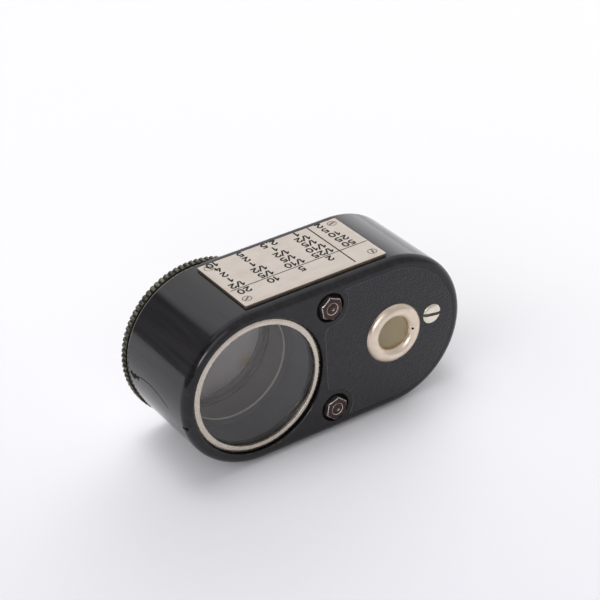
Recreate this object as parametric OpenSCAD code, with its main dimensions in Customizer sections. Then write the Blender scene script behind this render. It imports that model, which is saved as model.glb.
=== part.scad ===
// Pocket optical exposure meter in a black enamelled case with two round ends.
// The observer looks through the large front window at a grey wedge glass that turns with
// the knurled dial on the back. A small tinted window beside it gives the comparison field.
// Frame: X runs along the case, Y from front to back, Z up. The meter lies on its long side.

/* [Case] */
// Radius of the two round ends, half the height of the case
case_r = 18; // [17:0.5:20]
// Distance between the centres of the two round ends
centre_gap = 33.5; // [32:0.5:40]
// Depth from the front face to the back edge of the case
case_depth = 24; // [22:0.5:28]
// Thickness of the side wall
wall = 1.2; // [1:0.05:1.5]
// Thickness of the front wall
front_wall = 1.6; // [1.4:0.1:2.2]
// Rounding of the front edge
edge_r = 1.8; // [1:0.1:2.2]
// Thickness of the thin rim round the back plate
rim_wall = 0.7; // [0.5:0.05:0.9]

/* [Large window] */
// Width of the front face left round the large window
window_margin = 2.45; // [2.2:0.05:3]
// Chamfer of the window bore at the front face
bore_chamfer = 0.5; // [0.2:0.05:0.6]
// Depth of the bezel ring below the front face
window_recess = 0.65; // [0.5:0.05:1.2]
// Width of the bezel ring
bezel_w = 1.6; // [1:0.1:2]
// Thickness of the bezel ring
bezel_t = 0.6; // [0.5:0.1:1.5]
// Chamfer of both front edges of the bezel ring
bezel_chamfer = 0.15; // [0.05:0.05:0.3]
// Thickness of the window glass
window_glass_t = 1.2; // [0.8:0.1:1.6]
// Thickness of the packing ring behind the glass
packing_t = 0.3; // [0.2:0.05:0.5]
// Width of the seat behind the glass
seat_w = 1.7; // [1.4:0.1:2.2]
// Thickness of the seat
seat_t = 0.9; // [0.6:0.1:1.4]

/* [Light tube] */
// Step from the window bore down to the outside of the light tube
tube_step = 0.55; // [0.4:0.05:0.8]
// Wall of the light tube
tube_wall = 0.5; // [0.4:0.05:0.7]
// Depth of the socket that holds the front end of the tube
socket_depth = 1.2; // [0.8:0.1:2]
// Depth of the field stop behind the front face
stop_depth = 11.8; // [9:0.1:14]
// Width of the field stop inside the tube
stop_w = 1.5; // [0.8:0.1:2.5]
// Thickness of the field stop
stop_t = 0.5; // [0.4:0.1:1]

/* [Small window] */
// Outer radius of the domed bezel
eyelet_r = 6.9; // [6.3:0.1:7.4]
// Radius of the clear opening
eyelet_open_r = 3.85; // [3.6:0.05:4.6]
// Height of its centre above the middle of the case
eyelet_up = 0.3; // [-0.5:0.1:0.5]
// Height of the dome above the front
eyelet_h = 0.95; // [0.6:0.05:1.2]
// Radius of the shank that goes through the front wall
eyelet_shank_r = 5.6; // [5.4:0.1:6]
// Length of the shank behind the front wall
eyelet_shank_l = 2.8; // [2.4:0.1:4]
// Thickness of the lip in front of the tinted glass
eyelet_lip_t = 0.6; // [0.4:0.1:1]
// Wall of the shank round the tinted glass, with the clearance of the glass
eyelet_wall = 0.7; // [0.5:0.05:0.8]
// Thickness of the tinted glass
eyelet_glass_t = 1; // [0.8:0.1:1.4]
// Thickness of the spring ring behind the tinted glass
eyelet_spring_t = 0.6; // [0.4:0.1:0.8]
// Width of the ring nut round the shank
eyelet_nut_w = 1.9; // [1.4:0.1:2.1]
// Thickness of the ring nut
eyelet_nut_t = 1.4; // [1:0.1:1.6]
// Wall of the light tunnel behind the small window
tunnel_wall = 0.5; // [0.4:0.1:0.8]

/* [Back plate] */
// Thickness of the back plate
back_plate_t = 2; // [1.8:0.1:2.6]
// Radius of the light port behind the small window
port_r = 4.4; // [3.6:0.1:4.8]
// Radius of the ground glass in the light port
port_glass_r = 5.4; // [5.2:0.1:6]
// Thickness of the ground glass
port_glass_t = 0.9; // [0.6:0.1:1]
// Thickness of the ring that holds the ground glass
port_ring_t = 0.6; // [0.4:0.1:0.7]
// Width of the ring that holds the ground glass
port_ring_w = 0.8; // [0.5:0.1:1.2]
// Distance of the index stud from the edge of the dial
index_gap = 1.2; // [1.1:0.1:1.6]
// Radius of the head of the index stud
index_r = 0.8; // [0.6:0.1:1]
// Height of the head of the index stud
index_h = 0.5; // [0.3:0.1:0.8]
// Radius of the pin of the index stud
index_pin_r = 0.4; // [0.3:0.05:0.5]

/* [Clamp bolts] */
// Distance of the bolts from the dial axis along the case
bolt_x = 18; // [17.5:0.1:20]
// Distance of the bolts from the long sides of the case
bolt_edge = 5.55; // [5:0.05:6]
// Radius of the bolts
bolt_r = 1.25; // [1:0.05:1.5]
// Radius of the countersunk bolt heads
bolt_head_r = 2.3; // [2:0.1:2.6]
// Height of the countersunk bolt heads
bolt_head_h = 1.2; // [0.9:0.1:1.5]
// Height of the domed bolt ends above the nuts
bolt_end_h = 0.25; // [0.15:0.05:0.4]
// Radius of the centre mark in the bolt ends
punch_r = 0.3; // [0.2:0.05:0.5]
// Radius of the spacer sleeves on the bolts
sleeve_r = 2.2; // [1.9:0.1:2.5]
// Width of the nuts across the flats
nut_af = 4.7; // [4.2:0.1:5.2]
// Height of the nuts
nut_h = 1.3; // [1:0.1:1.8]
// Chamfer of the nut corners
nut_chamfer = 0.3; // [0.2:0.05:0.4]
// Turn of the lower nut, in degrees
lower_nut_turn = 12; // [0:1:59]
// Turn of the upper nut, in degrees
upper_nut_turn = 53; // [0:1:59]
// Radius of the round sinking under each nut
sink_r = 3.3; // [3.1:0.1:3.6]
// Depth of the round sinking under each nut
sink_depth = 0.6; // [0.3:0.05:0.8]

/* [Cover screw] */
// Distance of the cover screw from the small window along the case
cover_x = 10.1; // [9.8:0.1:11]
// Height of the cover screw above the axis of the small window
cover_up = 1; // [0:0.1:2]
// Radius of the screw head
cover_head_r = 2.3; // [2:0.1:2.5]
// Height of the countersunk part of the head
cover_head_h = 1.2; // [1:0.1:1.4]
// Height of the domed top of the head
cover_dome_h = 0.35; // [0.2:0.05:0.5]
// Radius of the screw shank
cover_shank_r = 1.1; // [0.9:0.1:1.3]
// Length of the screw behind the front wall
cover_shank_l = 5; // [3:0.5:8]
// Radius of the pillar that takes the screw
pillar_r = 2.1; // [1.8:0.1:2.3]
// Radius of the rivet end of the pillar
rivet_r = 1.1; // [0.8:0.1:1.4]
// Width of the screw slots
slot_w = 0.7; // [0.4:0.1:0.8]
// Depth of the screw slots
slot_depth = 0.5; // [0.3:0.1:0.7]

/* [Table plate] */
// Thickness of the table plate
table_t = 0.6; // [0.4:0.1:1]
// Distance of the plate from the front face
table_front = 2.5; // [2:0.1:4]
// Distance of the plate from the back edge of the case
table_back = 2.1; // [1.5:0.1:4]
// Length of the plate past the flat of the case at each end
table_over = 0.6; // [0:0.1:0.8]
// Distance of the plate screws from the ends of the plate
table_screw_end = 1.9; // [1.4:0.1:3]
// Distance of the front plate screws from the front edge of the plate
table_screw_front = 2.5; // [1.4:0.1:3.5]
// Distance of the back plate screws from the back edge of the plate
table_screw_back = 1.7; // [1.4:0.1:3]
// Radius of the countersunk plate screw heads
table_head_r = 1; // [0.8:0.05:1.2]
// Height of the countersunk plate screw heads
table_head_h = 0.45; // [0.3:0.05:0.55]
// Radius of the plate screw shanks
table_shank_r = 0.5; // [0.4:0.05:0.6]
// Width of the slots in the plate and scale screws
fine_slot_w = 0.25; // [0.2:0.05:0.35]
// Depth of the slots in the plate and scale screws
fine_slot_depth = 0.15; // [0.1:0.05:0.2]

/* [Leather panel] */
// Thickness of the leather panel
panel_t = 0.4; // [0.3:0.05:0.6]
// Height of the leather above the front face
panel_proud = 0.1; // [0.05:0.05:0.2]
// Width of the front face left round the panel
panel_margin = 2.4; // [2:0.1:3]
// Width of the front face left between the panel and the large window
panel_gap = 0.75; // [0.5:0.05:0.9]
// Width of the front face left round the nut sinkings
panel_land = 1.1; // [0.7:0.1:1.5]

/* [Setting dial] */
// Height of the knurled rim above the side of the case
dial_over = 0.5; // [0.3:0.1:0.8]
// Thickness of the knurled rim
rim_t = 1.6; // [1.4:0.1:2.2]
// Gap between the back edge of the case and the rim
dial_gap = 0.15; // [0.1:0.05:0.3]
// Number of knurl teeth
knurl_count = 90; // [60:2:120]
// Depth of the knurl teeth
knurl_depth = 0.4; // [0.25:0.05:0.5]
// Chamfer of the rim edges
rim_chamfer = 0.2; // [0.1:0.05:0.3]
// Room between the hub and the inside of the case
hub_room = 1.8; // [1.6:0.1:2.2]
// Wall of the hub
hub_wall = 0.95; // [0.85:0.05:1.1]
// Step of the hub that takes the keeper ring
hub_step = 0.3; // [0.2:0.05:0.4]
// Width of the lip that holds the wedge glasses
lip_w = 0.85; // [0.6:0.05:1.2]
// Thickness of the lip that holds the wedge glasses
lip_t = 0.85; // [0.7:0.05:1]
// Travel of the dial to each side of its middle, in degrees
dial_travel = 150; // [120:5:160]
// Width of the keeper ring outside the bearing
keeper_w = 0.95; // [0.8:0.05:1]
// Thickness of the keeper ring
keeper_t = 1.15; // [0.9:0.05:1.4]
// Thickness of the friction washer
washer_t = 0.35; // [0.25:0.05:0.5]
// Radius of the stop post
post_r = 0.5; // [0.4:0.05:0.55]
// Depth of the stop post in the back plate
post_depth = 1.2; // [0.8:0.1:1.6]

/* [Wedge and scale] */
// Thickness of the cover glass of the wedge
wedge_cover_t = 0.8; // [0.6:0.05:1]
// Thickness of the grey wedge glass
wedge_t = 1.6; // [1.2:0.1:1.8]
// Thickness of the ring that holds the wedge
retainer_t = 0.9; // [0.6:0.1:1]
// Width of the ring that holds the wedge
retainer_w = 0.7; // [0.5:0.05:1]
// Thickness of the scale ring
scale_t = 0.35; // [0.25:0.05:0.5]
// Width of the dial left round the scale ring
scale_margin = 0.6; // [0.4:0.05:0.8]
// Width of the dial left inside the scale ring
scale_inner = 0.7; // [0.5:0.05:1]
// Number of scale screws
scale_screw_count = 3; // [3:1:6]
// Radius of the scale screw heads
scale_head_r = 0.5; // [0.4:0.05:0.6]
// Height of the scale screw heads
scale_head_h = 0.2; // [0.15:0.05:0.3]
// Radius of the scale screw shanks
scale_shank_r = 0.3; // [0.2:0.05:0.4]
// Length of the scale screw shanks below the scale ring
scale_shank_l = 0.7; // [0.5:0.05:0.8]

/* [Fits] */
// Radial clearance of the dial bearing
bearing_gap = 0.05; // [0.03:0.01:0.08]
// Clearance of pieces that are pushed or screwed home
fit_gap = 0.03; // [0.02:0.01:0.05]
// Clearance of moving faces beside each other
run_gap = 0.15; // [0.1:0.05:0.2]
// Angle left between the dial stop and the post at the end of the travel
stop_slack = 0.4; // [0.2:0.1:1]

/* [Hidden] */
$fn = 96;
// Overlap of a cut past the face that it opens
cut = 0.5;
// Share of a knurl tooth where its flank ends and its crest ends
crest_from = 0.3;
crest_to = 0.7;
// Number of sides of a nut
nut_sides = 6;
// Share of a cap's foot radius that its core takes up
dome_core = 0.4;

dial_axis = [-centre_gap / 2, case_r];
far_axis = [centre_gap / 2, case_r];
eyelet_axis = far_axis + [0, eyelet_up];
cover_axis = eyelet_axis + [cover_x, cover_up];
bolt_axes = [for (side = [-1, 1]) [dial_axis[0] + bolt_x, case_r + side * (case_r - bolt_edge)]];

y_front = -case_depth / 2;
y_back = case_depth / 2;
y_inner = y_front + front_wall;
y_ledge = y_back - back_plate_t;
y_face = y_front - panel_proud;
cavity_r = case_r - wall;
rebate_r = case_r - rim_wall;

// Stack of the large window, from the front
bore_r = case_r - window_margin;
bezel_r = bore_r - fit_gap;
seat_r = bore_r - seat_w;
boss_r = case_r - wall / 2;
y_bezel = y_front + window_recess;
y_glass = y_bezel + bezel_t;
y_packing = y_glass + window_glass_t;
y_seat = y_packing + packing_t;
y_socket = y_seat + seat_t;
y_boss = y_socket + socket_depth;

// Stack of the small window, from the front
eyelet_glass_r = eyelet_shank_r - eyelet_wall;
eyelet_mid_r = (eyelet_r + eyelet_open_r) / 2;
eyelet_half_w = (eyelet_r - eyelet_open_r) / 2;
eyelet_dome_r = (eyelet_half_w * eyelet_half_w + eyelet_h * eyelet_h) / (2 * eyelet_h);
y_tint = y_face + eyelet_lip_t;
y_spring = y_tint + eyelet_glass_t;
y_shank = y_inner + eyelet_shank_l;
y_tunnel = y_inner + eyelet_nut_t + run_gap;
tunnel_r = eyelet_shank_r + fit_gap;
y_port = y_back - port_ring_t - port_glass_t;

// Nuts and bolts
y_nut_seat = y_front + sink_depth;
y_nut_top = y_nut_seat - nut_h;
nut_r = nut_af / 2 / cos(180 / nut_sides);
y_screw_end = y_inner + cover_shank_l;

// Setting dial, from the back
hub_r = cavity_r - hub_room;
hub_bore_r = hub_r - hub_wall;
aperture_r = hub_bore_r - lip_w;
dial_r = case_r + dial_over;
root_r = dial_r - knurl_depth;
y_rim = y_back + dial_gap;
y_dial = y_rim + rim_t;
y_lip = y_dial - lip_t;
y_wedge_cover = y_lip - wedge_cover_t;
y_wedge = y_wedge_cover - wedge_t;
y_retainer = y_wedge - retainer_t;
y_keeper_back = y_ledge - washer_t - run_gap;
y_keeper = y_keeper_back - keeper_t;
keeper_r = hub_r + bearing_gap + keeper_w;
post_at = keeper_r + run_gap + post_r;
lug_r = post_at - run_gap;
lug_half = 180 - dial_travel - asin(post_r / post_at) - stop_slack;
y_tube_end = y_keeper - run_gap;
scale_out_r = root_r - scale_margin;
scale_in_r = aperture_r + scale_inner;
scale_mid_r = (scale_out_r + scale_in_r) / 2;
index_at = dial_r + index_gap;

// Table plate
table_l = centre_gap + 2 * table_over;
table_y0 = y_front + table_front;
table_y1 = y_back - table_back;
table_z = 2 * case_r;
table_x = [-table_l / 2 + table_screw_end, table_l / 2 - table_screw_end];
table_y = [table_y0 + table_screw_front, table_y1 - table_screw_back];

// Leather panel
panel_r = case_r - panel_margin;
panel_x = dial_axis[0] + bore_r + panel_gap;
panel_nut_r = sink_r + panel_land;
panel_round = bolt_axes[0][0] - panel_x;
panel_tab_z = case_r - bolt_edge - panel_nut_r;

enamel = "#26262a";
nickel = "#d6cfc6";
blackened = "#3a3631";
glass = "#a9b0b3";

// A round bar along Y about an axis given as [x, z]
module bar(axis, r, y0, y1) {
  translate([axis[0], y1, axis[1]])
    rotate([90, 0, 0])
      cylinder(r = r, h = y1 - y0);
}

// A ring along Y about an axis given as [x, z]
module ring(axis, r_out, r_in, y0, y1) {
  difference() {
    bar(axis, r_out, y0, y1);
    bar(axis, r_in, y0 - cut, y1 + cut);
  }
}

// An outline in X and Z drawn out from y0 to y1
module slab(y0, y1) {
  translate([0, y1, 0])
    rotate([90, 0, 0])
      linear_extrude(y1 - y0)
        children();
}

// A profile of radius and Y turned about an axis given as [x, z]
module turned(axis) {
  translate([axis[0], 0, axis[1]])
    rotate([-90, 0, 0])
      rotate_extrude()
        children();
}

// Outline of the case at a given end radius
module stadium(r) {
  translate(dial_axis) circle(r);
  translate(far_axis) circle(r);
  translate([dial_axis[0], case_r - r]) square([centre_gap, 2 * r]);
}

// Half section of the case with its rounded front edge
module case_profile() {
  translate([0, y_front + edge_r]) square([case_r, case_depth - edge_r]);
  translate([0, y_front]) square([case_r - edge_r, edge_r]);
  translate([case_r - edge_r, y_front + edge_r]) circle(edge_r);
}

// The case as a solid block: two turned ends and the straight stretch between them
module case_block() {
  for (end = [0, 1])
    translate([end == 0 ? dial_axis[0] : far_axis[0], 0, case_r])
      rotate([-90, 0, 0])
        rotate([0, 0, end == 0 ? 90 : -90])
          rotate_extrude(angle = 180)
            case_profile();
  translate([dial_axis[0], 0, case_r])
    rotate([0, 90, 0])
      linear_extrude(centre_gap) {
        case_profile();
        mirror([1, 0]) case_profile();
      }
}

// Countersunk screw or bore from its wide face at y0 along a direction of 1 (to the back) or -1
module countersunk(axis, head_r, head_h, shank_r, y0, length, way, gap = 0) {
  turned(axis)
    polygon([
      [0, y0],
      [head_r + gap, y0],
      [shank_r + gap, y0 + way * head_h],
      [shank_r + gap, y0 + way * length],
      [0, y0 + way * length]
    ]);
}

// Domed cap of a given foot radius and height, foot at y0, rising to the front.
// A core half as high as the cap reaches down into the piece that carries it.
module dome(axis, foot_r, height, y0) {
  sphere_r = (foot_r * foot_r + height * height) / (2 * height);
  turned(axis) {
    intersection() {
      translate([0, y0 - height + sphere_r]) circle(sphere_r);
      translate([0, y0 - height]) square([foot_r, height]);
    }
    translate([0, y0 - height / 2]) square([foot_r * dome_core, height]);
  }
}

module case_shell() {
  color(enamel)
    difference() {
      case_block();
      difference() {
        slab(y_inner, y_back + cut) stadium(cavity_r);
        bar(dial_axis, boss_r, y_front, y_boss);
      }
      slab(y_ledge, y_back + cut) stadium(rebate_r);
      countersunk(dial_axis, bore_r + bore_chamfer, bore_chamfer, bore_r, y_front, y_seat - y_front, 1);
      bar(dial_axis, seat_r, y_front, y_socket + cut);
      bar(dial_axis, bore_r - tube_step + fit_gap, y_socket, y_boss + cut);
      slab(y_front - cut, y_front + panel_t - panel_proud) panel_outline(fit_gap);
      bar(eyelet_axis, eyelet_shank_r + fit_gap, y_front - cut, y_inner + cut);
      countersunk(
        cover_axis, cover_head_r, cover_head_h, cover_shank_r, y_face, front_wall + cut, 1, fit_gap
      );
      for (axis = bolt_axes) {
        bar(axis, sink_r, y_front - cut, y_nut_seat);
        bar(axis, bolt_r + fit_gap, y_front, y_inner + cut);
      }
      table_screw_places() table_screw(wall + cut, fit_gap);
    }
}

module window_bezel() {
  bezel_in_r = bore_r - bezel_w;
  color(nickel)
    turned(dial_axis)
      polygon([
        [bezel_in_r, y_glass],
        [bezel_in_r, y_bezel + bezel_chamfer],
        [bezel_in_r + bezel_chamfer, y_bezel],
        [bezel_r - bezel_chamfer, y_bezel],
        [bezel_r, y_bezel + bezel_chamfer],
        [bezel_r, y_glass]
      ]);
}

module window_glass() {
  color(glass, 0.4) bar(dial_axis, bezel_r, y_glass, y_packing);
}

module window_packing() {
  color("#2b2a28") ring(dial_axis, bezel_r, seat_r, y_packing, y_seat);
}

// Blackened tube with the field stop half way along it
module light_tube() {
  tube_r = bore_r - tube_step;
  y_stop = y_front + stop_depth;
  color(blackened) {
    ring(dial_axis, tube_r, tube_r - tube_wall, y_socket, y_tube_end);
    ring(dial_axis, tube_r - tube_wall / 2, tube_r - tube_wall - stop_w, y_stop, y_stop + stop_t);
  }
}

// Outline of the leather: the round end, hollowed round both nuts, with a tab between them
module panel_outline(gap = 0) {
  difference() {
    intersection() {
      stadium(panel_r + gap);
      translate([bolt_axes[0][0], 0]) square([2 * centre_gap, 2 * case_r]);
    }
    for (axis = bolt_axes) translate(axis) circle(panel_nut_r - gap);
  }
  for (side = [-1, 1])
    translate([panel_x + panel_round, case_r + side * (panel_tab_z - panel_round)])
      circle(panel_round + gap);
  translate([panel_x + panel_round, case_r - panel_tab_z - gap])
    square([panel_round, 2 * (panel_tab_z + gap)]);
  translate([panel_x - gap, case_r - panel_tab_z + panel_round])
    square([2 * panel_round, 2 * (panel_tab_z - panel_round)]);
}

module leather_panel() {
  color("#2a2a2d")
    difference() {
      slab(y_face, y_face + panel_t) panel_outline();
      bar(eyelet_axis, eyelet_shank_r + fit_gap, y_face - cut, y_inner);
      bar(cover_axis, cover_head_r + fit_gap, y_face - cut, y_inner);
    }
}

// Domed bezel of the small window with its threaded shank
module eyelet() {
  color(nickel)
    turned(eyelet_axis) {
      intersection() {
        translate([eyelet_mid_r, y_face - eyelet_h + eyelet_dome_r]) circle(eyelet_dome_r);
        translate([eyelet_open_r, y_face - eyelet_h]) square([2 * eyelet_half_w, eyelet_h]);
      }
      translate([eyelet_open_r, y_face])
        square([eyelet_shank_r - eyelet_open_r, eyelet_lip_t]);
      translate([eyelet_glass_r + fit_gap, y_face - eyelet_h / 2])
        square([eyelet_shank_r - eyelet_glass_r - fit_gap, y_shank - y_face + eyelet_h / 2]);
    }
}

module eyelet_glass() {
  color("#8a8468", 0.8) bar(eyelet_axis, eyelet_glass_r, y_tint, y_spring);
}

module eyelet_spring() {
  color(blackened)
    ring(eyelet_axis, eyelet_glass_r, eyelet_open_r, y_spring, y_spring + eyelet_spring_t);
}

module eyelet_nut() {
  color("#8d8578")
    ring(
      eyelet_axis, eyelet_shank_r + eyelet_nut_w, eyelet_shank_r + fit_gap, y_inner, y_inner + eyelet_nut_t
    );
}

module light_tunnel() {
  color(blackened) ring(eyelet_axis, tunnel_r + tunnel_wall, tunnel_r, y_tunnel, y_ledge);
}

module back_plate() {
  color(enamel)
    difference() {
      slab(y_ledge, y_back) stadium(rebate_r - fit_gap);
      bar(dial_axis, hub_r + bearing_gap, y_ledge - cut, y_back + cut);
      bar(eyelet_axis, port_r, y_ledge - cut, y_back + cut);
      bar(eyelet_axis, port_glass_r + fit_gap, y_port, y_back + cut);
      bar(cover_axis, rivet_r + fit_gap, y_ledge - cut, y_back + cut);
      bar(dial_axis + [index_at, 0], index_pin_r + fit_gap, y_ledge - cut, y_back + cut);
      bar(dial_axis + [post_at, 0], post_r + fit_gap, y_ledge - cut, y_ledge + post_depth);
      for (axis = bolt_axes)
        countersunk(axis, bolt_head_r, bolt_head_h, bolt_r, y_back, back_plate_t + cut, -1, fit_gap);
    }
}

module port_glass() {
  color("#c9c6b4", 0.8) bar(eyelet_axis, port_glass_r, y_port, y_port + port_glass_t);
}

module port_ring() {
  color(nickel)
    ring(eyelet_axis, port_glass_r, port_glass_r - port_ring_w, y_port + port_glass_t, y_back);
}

// Round-headed stud beside the dial, against which the scale is read
module index_stud() {
  axis = dial_axis + [index_at, 0];
  color(nickel) {
    bar(axis, index_pin_r, y_ledge, y_back);
    mirror([0, 1, 0]) dome(axis, index_r, index_h, -y_back);
  }
}

// Post that the lug of the keeper ring meets at both ends of the travel
module stop_post() {
  color("#8d8578") bar(dial_axis + [post_at, 0], post_r, y_keeper, y_ledge + post_depth);
}

module friction_washer() {
  color("#a5794a") ring(dial_axis, keeper_r, hub_r + run_gap, y_ledge - washer_t, y_ledge);
}

module clamp_bolts() {
  color(nickel)
    for (axis = bolt_axes)
      difference() {
        union() {
          countersunk(axis, bolt_head_r, bolt_head_h, bolt_r, y_back, y_back - y_nut_top, -1);
          dome(axis, bolt_r, bolt_end_h, y_nut_top);
        }
        translate([axis[0], y_nut_top - bolt_end_h, axis[1]])
          rotate([-90, 0, 0])
            cylinder(r1 = punch_r, r2 = 0, h = punch_r);
        translate([axis[0] - bolt_head_r, y_back - slot_depth, axis[1] - slot_w / 2])
          cube([2 * bolt_head_r, slot_depth + cut, slot_w]);
      }
}

// Hexagon nuts with turned corners
module hex_nuts() {
  color("#b9aca4")
    for (i = [0, 1])
      difference() {
        intersection() {
          translate([bolt_axes[i][0], y_nut_seat, bolt_axes[i][1]])
            rotate([90, 0, 0])
              rotate([0, 0, i == 0 ? lower_nut_turn : upper_nut_turn])
                cylinder(r = nut_r, h = nut_h, $fn = nut_sides);
          turned(bolt_axes[i])
            polygon([
              [0, y_nut_top],
              [nut_r - nut_chamfer, y_nut_top],
              [nut_r, y_nut_top + nut_chamfer],
              [nut_r, y_nut_seat],
              [0, y_nut_seat]
            ]);
        }
        bar(bolt_axes[i], bolt_r + fit_gap, y_nut_top - cut, y_nut_seat + cut);
      }
}

module bolt_sleeves() {
  color("#8d8578")
    for (axis = bolt_axes) ring(axis, sleeve_r, bolt_r + fit_gap, y_inner, y_ledge);
}

module cover_screw() {
  color(nickel)
    difference() {
      union() {
        countersunk(
          cover_axis, cover_head_r, cover_head_h, cover_shank_r, y_face, y_screw_end - y_face, 1
        );
        dome(cover_axis, cover_head_r, cover_dome_h, y_face);
      }
      translate([cover_axis[0] - cover_head_r, y_face - cover_dome_h - cut, cover_axis[1] - slot_w / 2])
        cube([2 * cover_head_r, cut + slot_depth, slot_w]);
    }
}

// Pillar between the front wall and the back plate that takes the cover screw
module cover_pillar() {
  color("#8d8578")
    difference() {
      union() {
        bar(cover_axis, pillar_r, y_inner, y_ledge);
        bar(cover_axis, rivet_r, y_ledge - rivet_r, y_back);
      }
      bar(cover_axis, cover_shank_r + fit_gap, y_inner - cut, y_screw_end + cut);
    }
}

// Puts its children at the four screws of the table plate, at the top of the plate
module table_screw_places() {
  for (x = table_x)
    for (y = table_y)
      translate([x, y, table_z + table_t])
        children();
}

// Countersunk plate screw that goes a given depth below the plate
module table_screw(depth, gap = 0) {
  rotate_extrude()
    polygon([
      [0, 0],
      [table_head_r + gap, 0],
      [table_shank_r + gap, -table_head_h],
      [table_shank_r + gap, -table_t - depth],
      [0, -table_t - depth]
    ]);
}

module table_plate() {
  color("#d9d1c6")
    difference() {
      translate([-table_l / 2, table_y0, table_z])
        cube([table_l, table_y1 - table_y0, table_t]);
      table_screw_places() table_screw(cut, fit_gap);
    }
}

// Slot across a small screw head whose top is at z = 0
module fine_slot(head_r) {
  translate([-head_r - cut, -fine_slot_w / 2, -fine_slot_depth])
    cube([2 * (head_r + cut), fine_slot_w, fine_slot_depth + cut]);
}

module table_screws() {
  color(nickel)
    table_screw_places()
      difference() {
        table_screw(wall);
        fine_slot(table_head_r);
      }
}

// Knurled outline: straight-flanked teeth with a narrow crest
module knurl_outline() {
  pitch = 360 / knurl_count;
  polygon([
    for (i = [0 : knurl_count - 1])
      for (point = [[root_r, 0], [dial_r, crest_from], [dial_r, crest_to]])
        point[0] * [cos((i + point[1]) * pitch), sin((i + point[1]) * pitch)]
  ]);
}

// Knurled dial with the hub that turns in the back plate and holds the wedge
module dial_ring() {
  color("#5a5850")
    difference() {
      union() {
        intersection() {
          slab(y_rim, y_dial) translate(dial_axis) knurl_outline();
          turned(dial_axis)
            polygon([
              [0, y_rim],
              [dial_r - rim_chamfer, y_rim],
              [dial_r, y_rim + rim_chamfer],
              [dial_r, y_dial - rim_chamfer],
              [dial_r - rim_chamfer, y_dial],
              [0, y_dial]
            ]);
        }
        bar(dial_axis, hub_r, y_keeper_back, y_rim + rim_t / 2);
        bar(dial_axis, hub_r - hub_step, y_keeper, y_rim);
      }
      bar(dial_axis, hub_bore_r, y_keeper - cut, y_lip);
      bar(dial_axis, aperture_r, y_lip - cut, y_dial + cut);
      ring(dial_axis, scale_out_r + fit_gap, scale_in_r - fit_gap, y_dial - scale_t, y_dial + cut);
      scale_screw_places()
        translate([0, 0, -scale_t - scale_shank_l])
          cylinder(r = scale_shank_r + fit_gap, h = scale_shank_l + cut);
    }
}

// Puts its children at the scale screws, facing the back of the dial
module scale_screw_places() {
  for (i = [0 : scale_screw_count - 1])
    translate([dial_axis[0], y_dial, dial_axis[1]])
      rotate([-90, 0, 0])
        rotate([0, 0, (i + 0.5) * 360 / scale_screw_count])
          translate([scale_mid_r, 0, 0])
            children();
}

module scale_ring() {
  color("#c9c1b4")
    difference() {
      ring(dial_axis, scale_out_r, scale_in_r, y_dial - scale_t, y_dial);
      scale_screw_places()
        translate([0, 0, -scale_t - cut])
          cylinder(r = scale_shank_r + fit_gap, h = scale_t + 2 * cut);
    }
}

module scale_screws() {
  color(nickel)
    scale_screw_places()
      difference() {
        union() {
          cylinder(r = scale_head_r, h = scale_head_h);
          translate([0, 0, -scale_t - scale_shank_l])
            cylinder(r = scale_shank_r, h = scale_t + scale_shank_l + scale_head_h / 2);
        }
        translate([0, 0, scale_head_h]) fine_slot(scale_head_r);
      }
}

module wedge_cover() {
  color(glass, 0.4) bar(dial_axis, hub_bore_r - fit_gap, y_wedge_cover, y_lip);
}

// Grey glass whose density grows round the circle
module wedge_glass() {
  color("#6e6e6c", 0.7) bar(dial_axis, hub_bore_r - fit_gap, y_wedge, y_wedge_cover);
}

module wedge_retainer() {
  color(blackened)
    ring(dial_axis, hub_bore_r - fit_gap, hub_bore_r - retainer_w, y_retainer, y_wedge);
}

// Ring screwed on the inner end of the hub, with the lug that meets the stop post
module keeper_ring() {
  color(blackened)
    difference() {
      union() {
        bar(dial_axis, keeper_r, y_keeper, y_keeper_back);
        translate([dial_axis[0], y_keeper, dial_axis[1]])
          rotate([-90, 0, 0])
            rotate([0, 0, 180 - lug_half])
              rotate_extrude(angle = 2 * lug_half)
                square([lug_r, keeper_t]);
      }
      bar(dial_axis, hub_r - hub_step + fit_gap, y_keeper - cut, y_keeper_back + cut);
    }
}

case_shell();
window_bezel();
window_glass();
window_packing();
light_tube();
leather_panel();
eyelet();
eyelet_glass();
eyelet_spring();
eyelet_nut();
light_tunnel();
back_plate();
port_glass();
port_ring();
index_stud();
stop_post();
friction_washer();
clamp_bolts();
hex_nuts();
bolt_sleeves();
cover_screw();
cover_pillar();
table_plate();
table_screws();
dial_ring();
scale_ring();
scale_screws();
wedge_cover();
wedge_glass();
wedge_retainer();
keeper_ring();
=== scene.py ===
"""Dressed model of a pocket optical exposure meter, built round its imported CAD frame.

All sizes are in millimetres in the frame of the part: X along the case, Y from front to back, Z up.
"""

import logging
import math
from collections.abc import Iterable, Iterator, Sequence
from dataclasses import dataclass, field
from enum import Enum
from functools import cache

import bmesh
import bpy
from mathutils import Matrix, Vector
from mathutils.geometry import delaunay_2d_cdt


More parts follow.
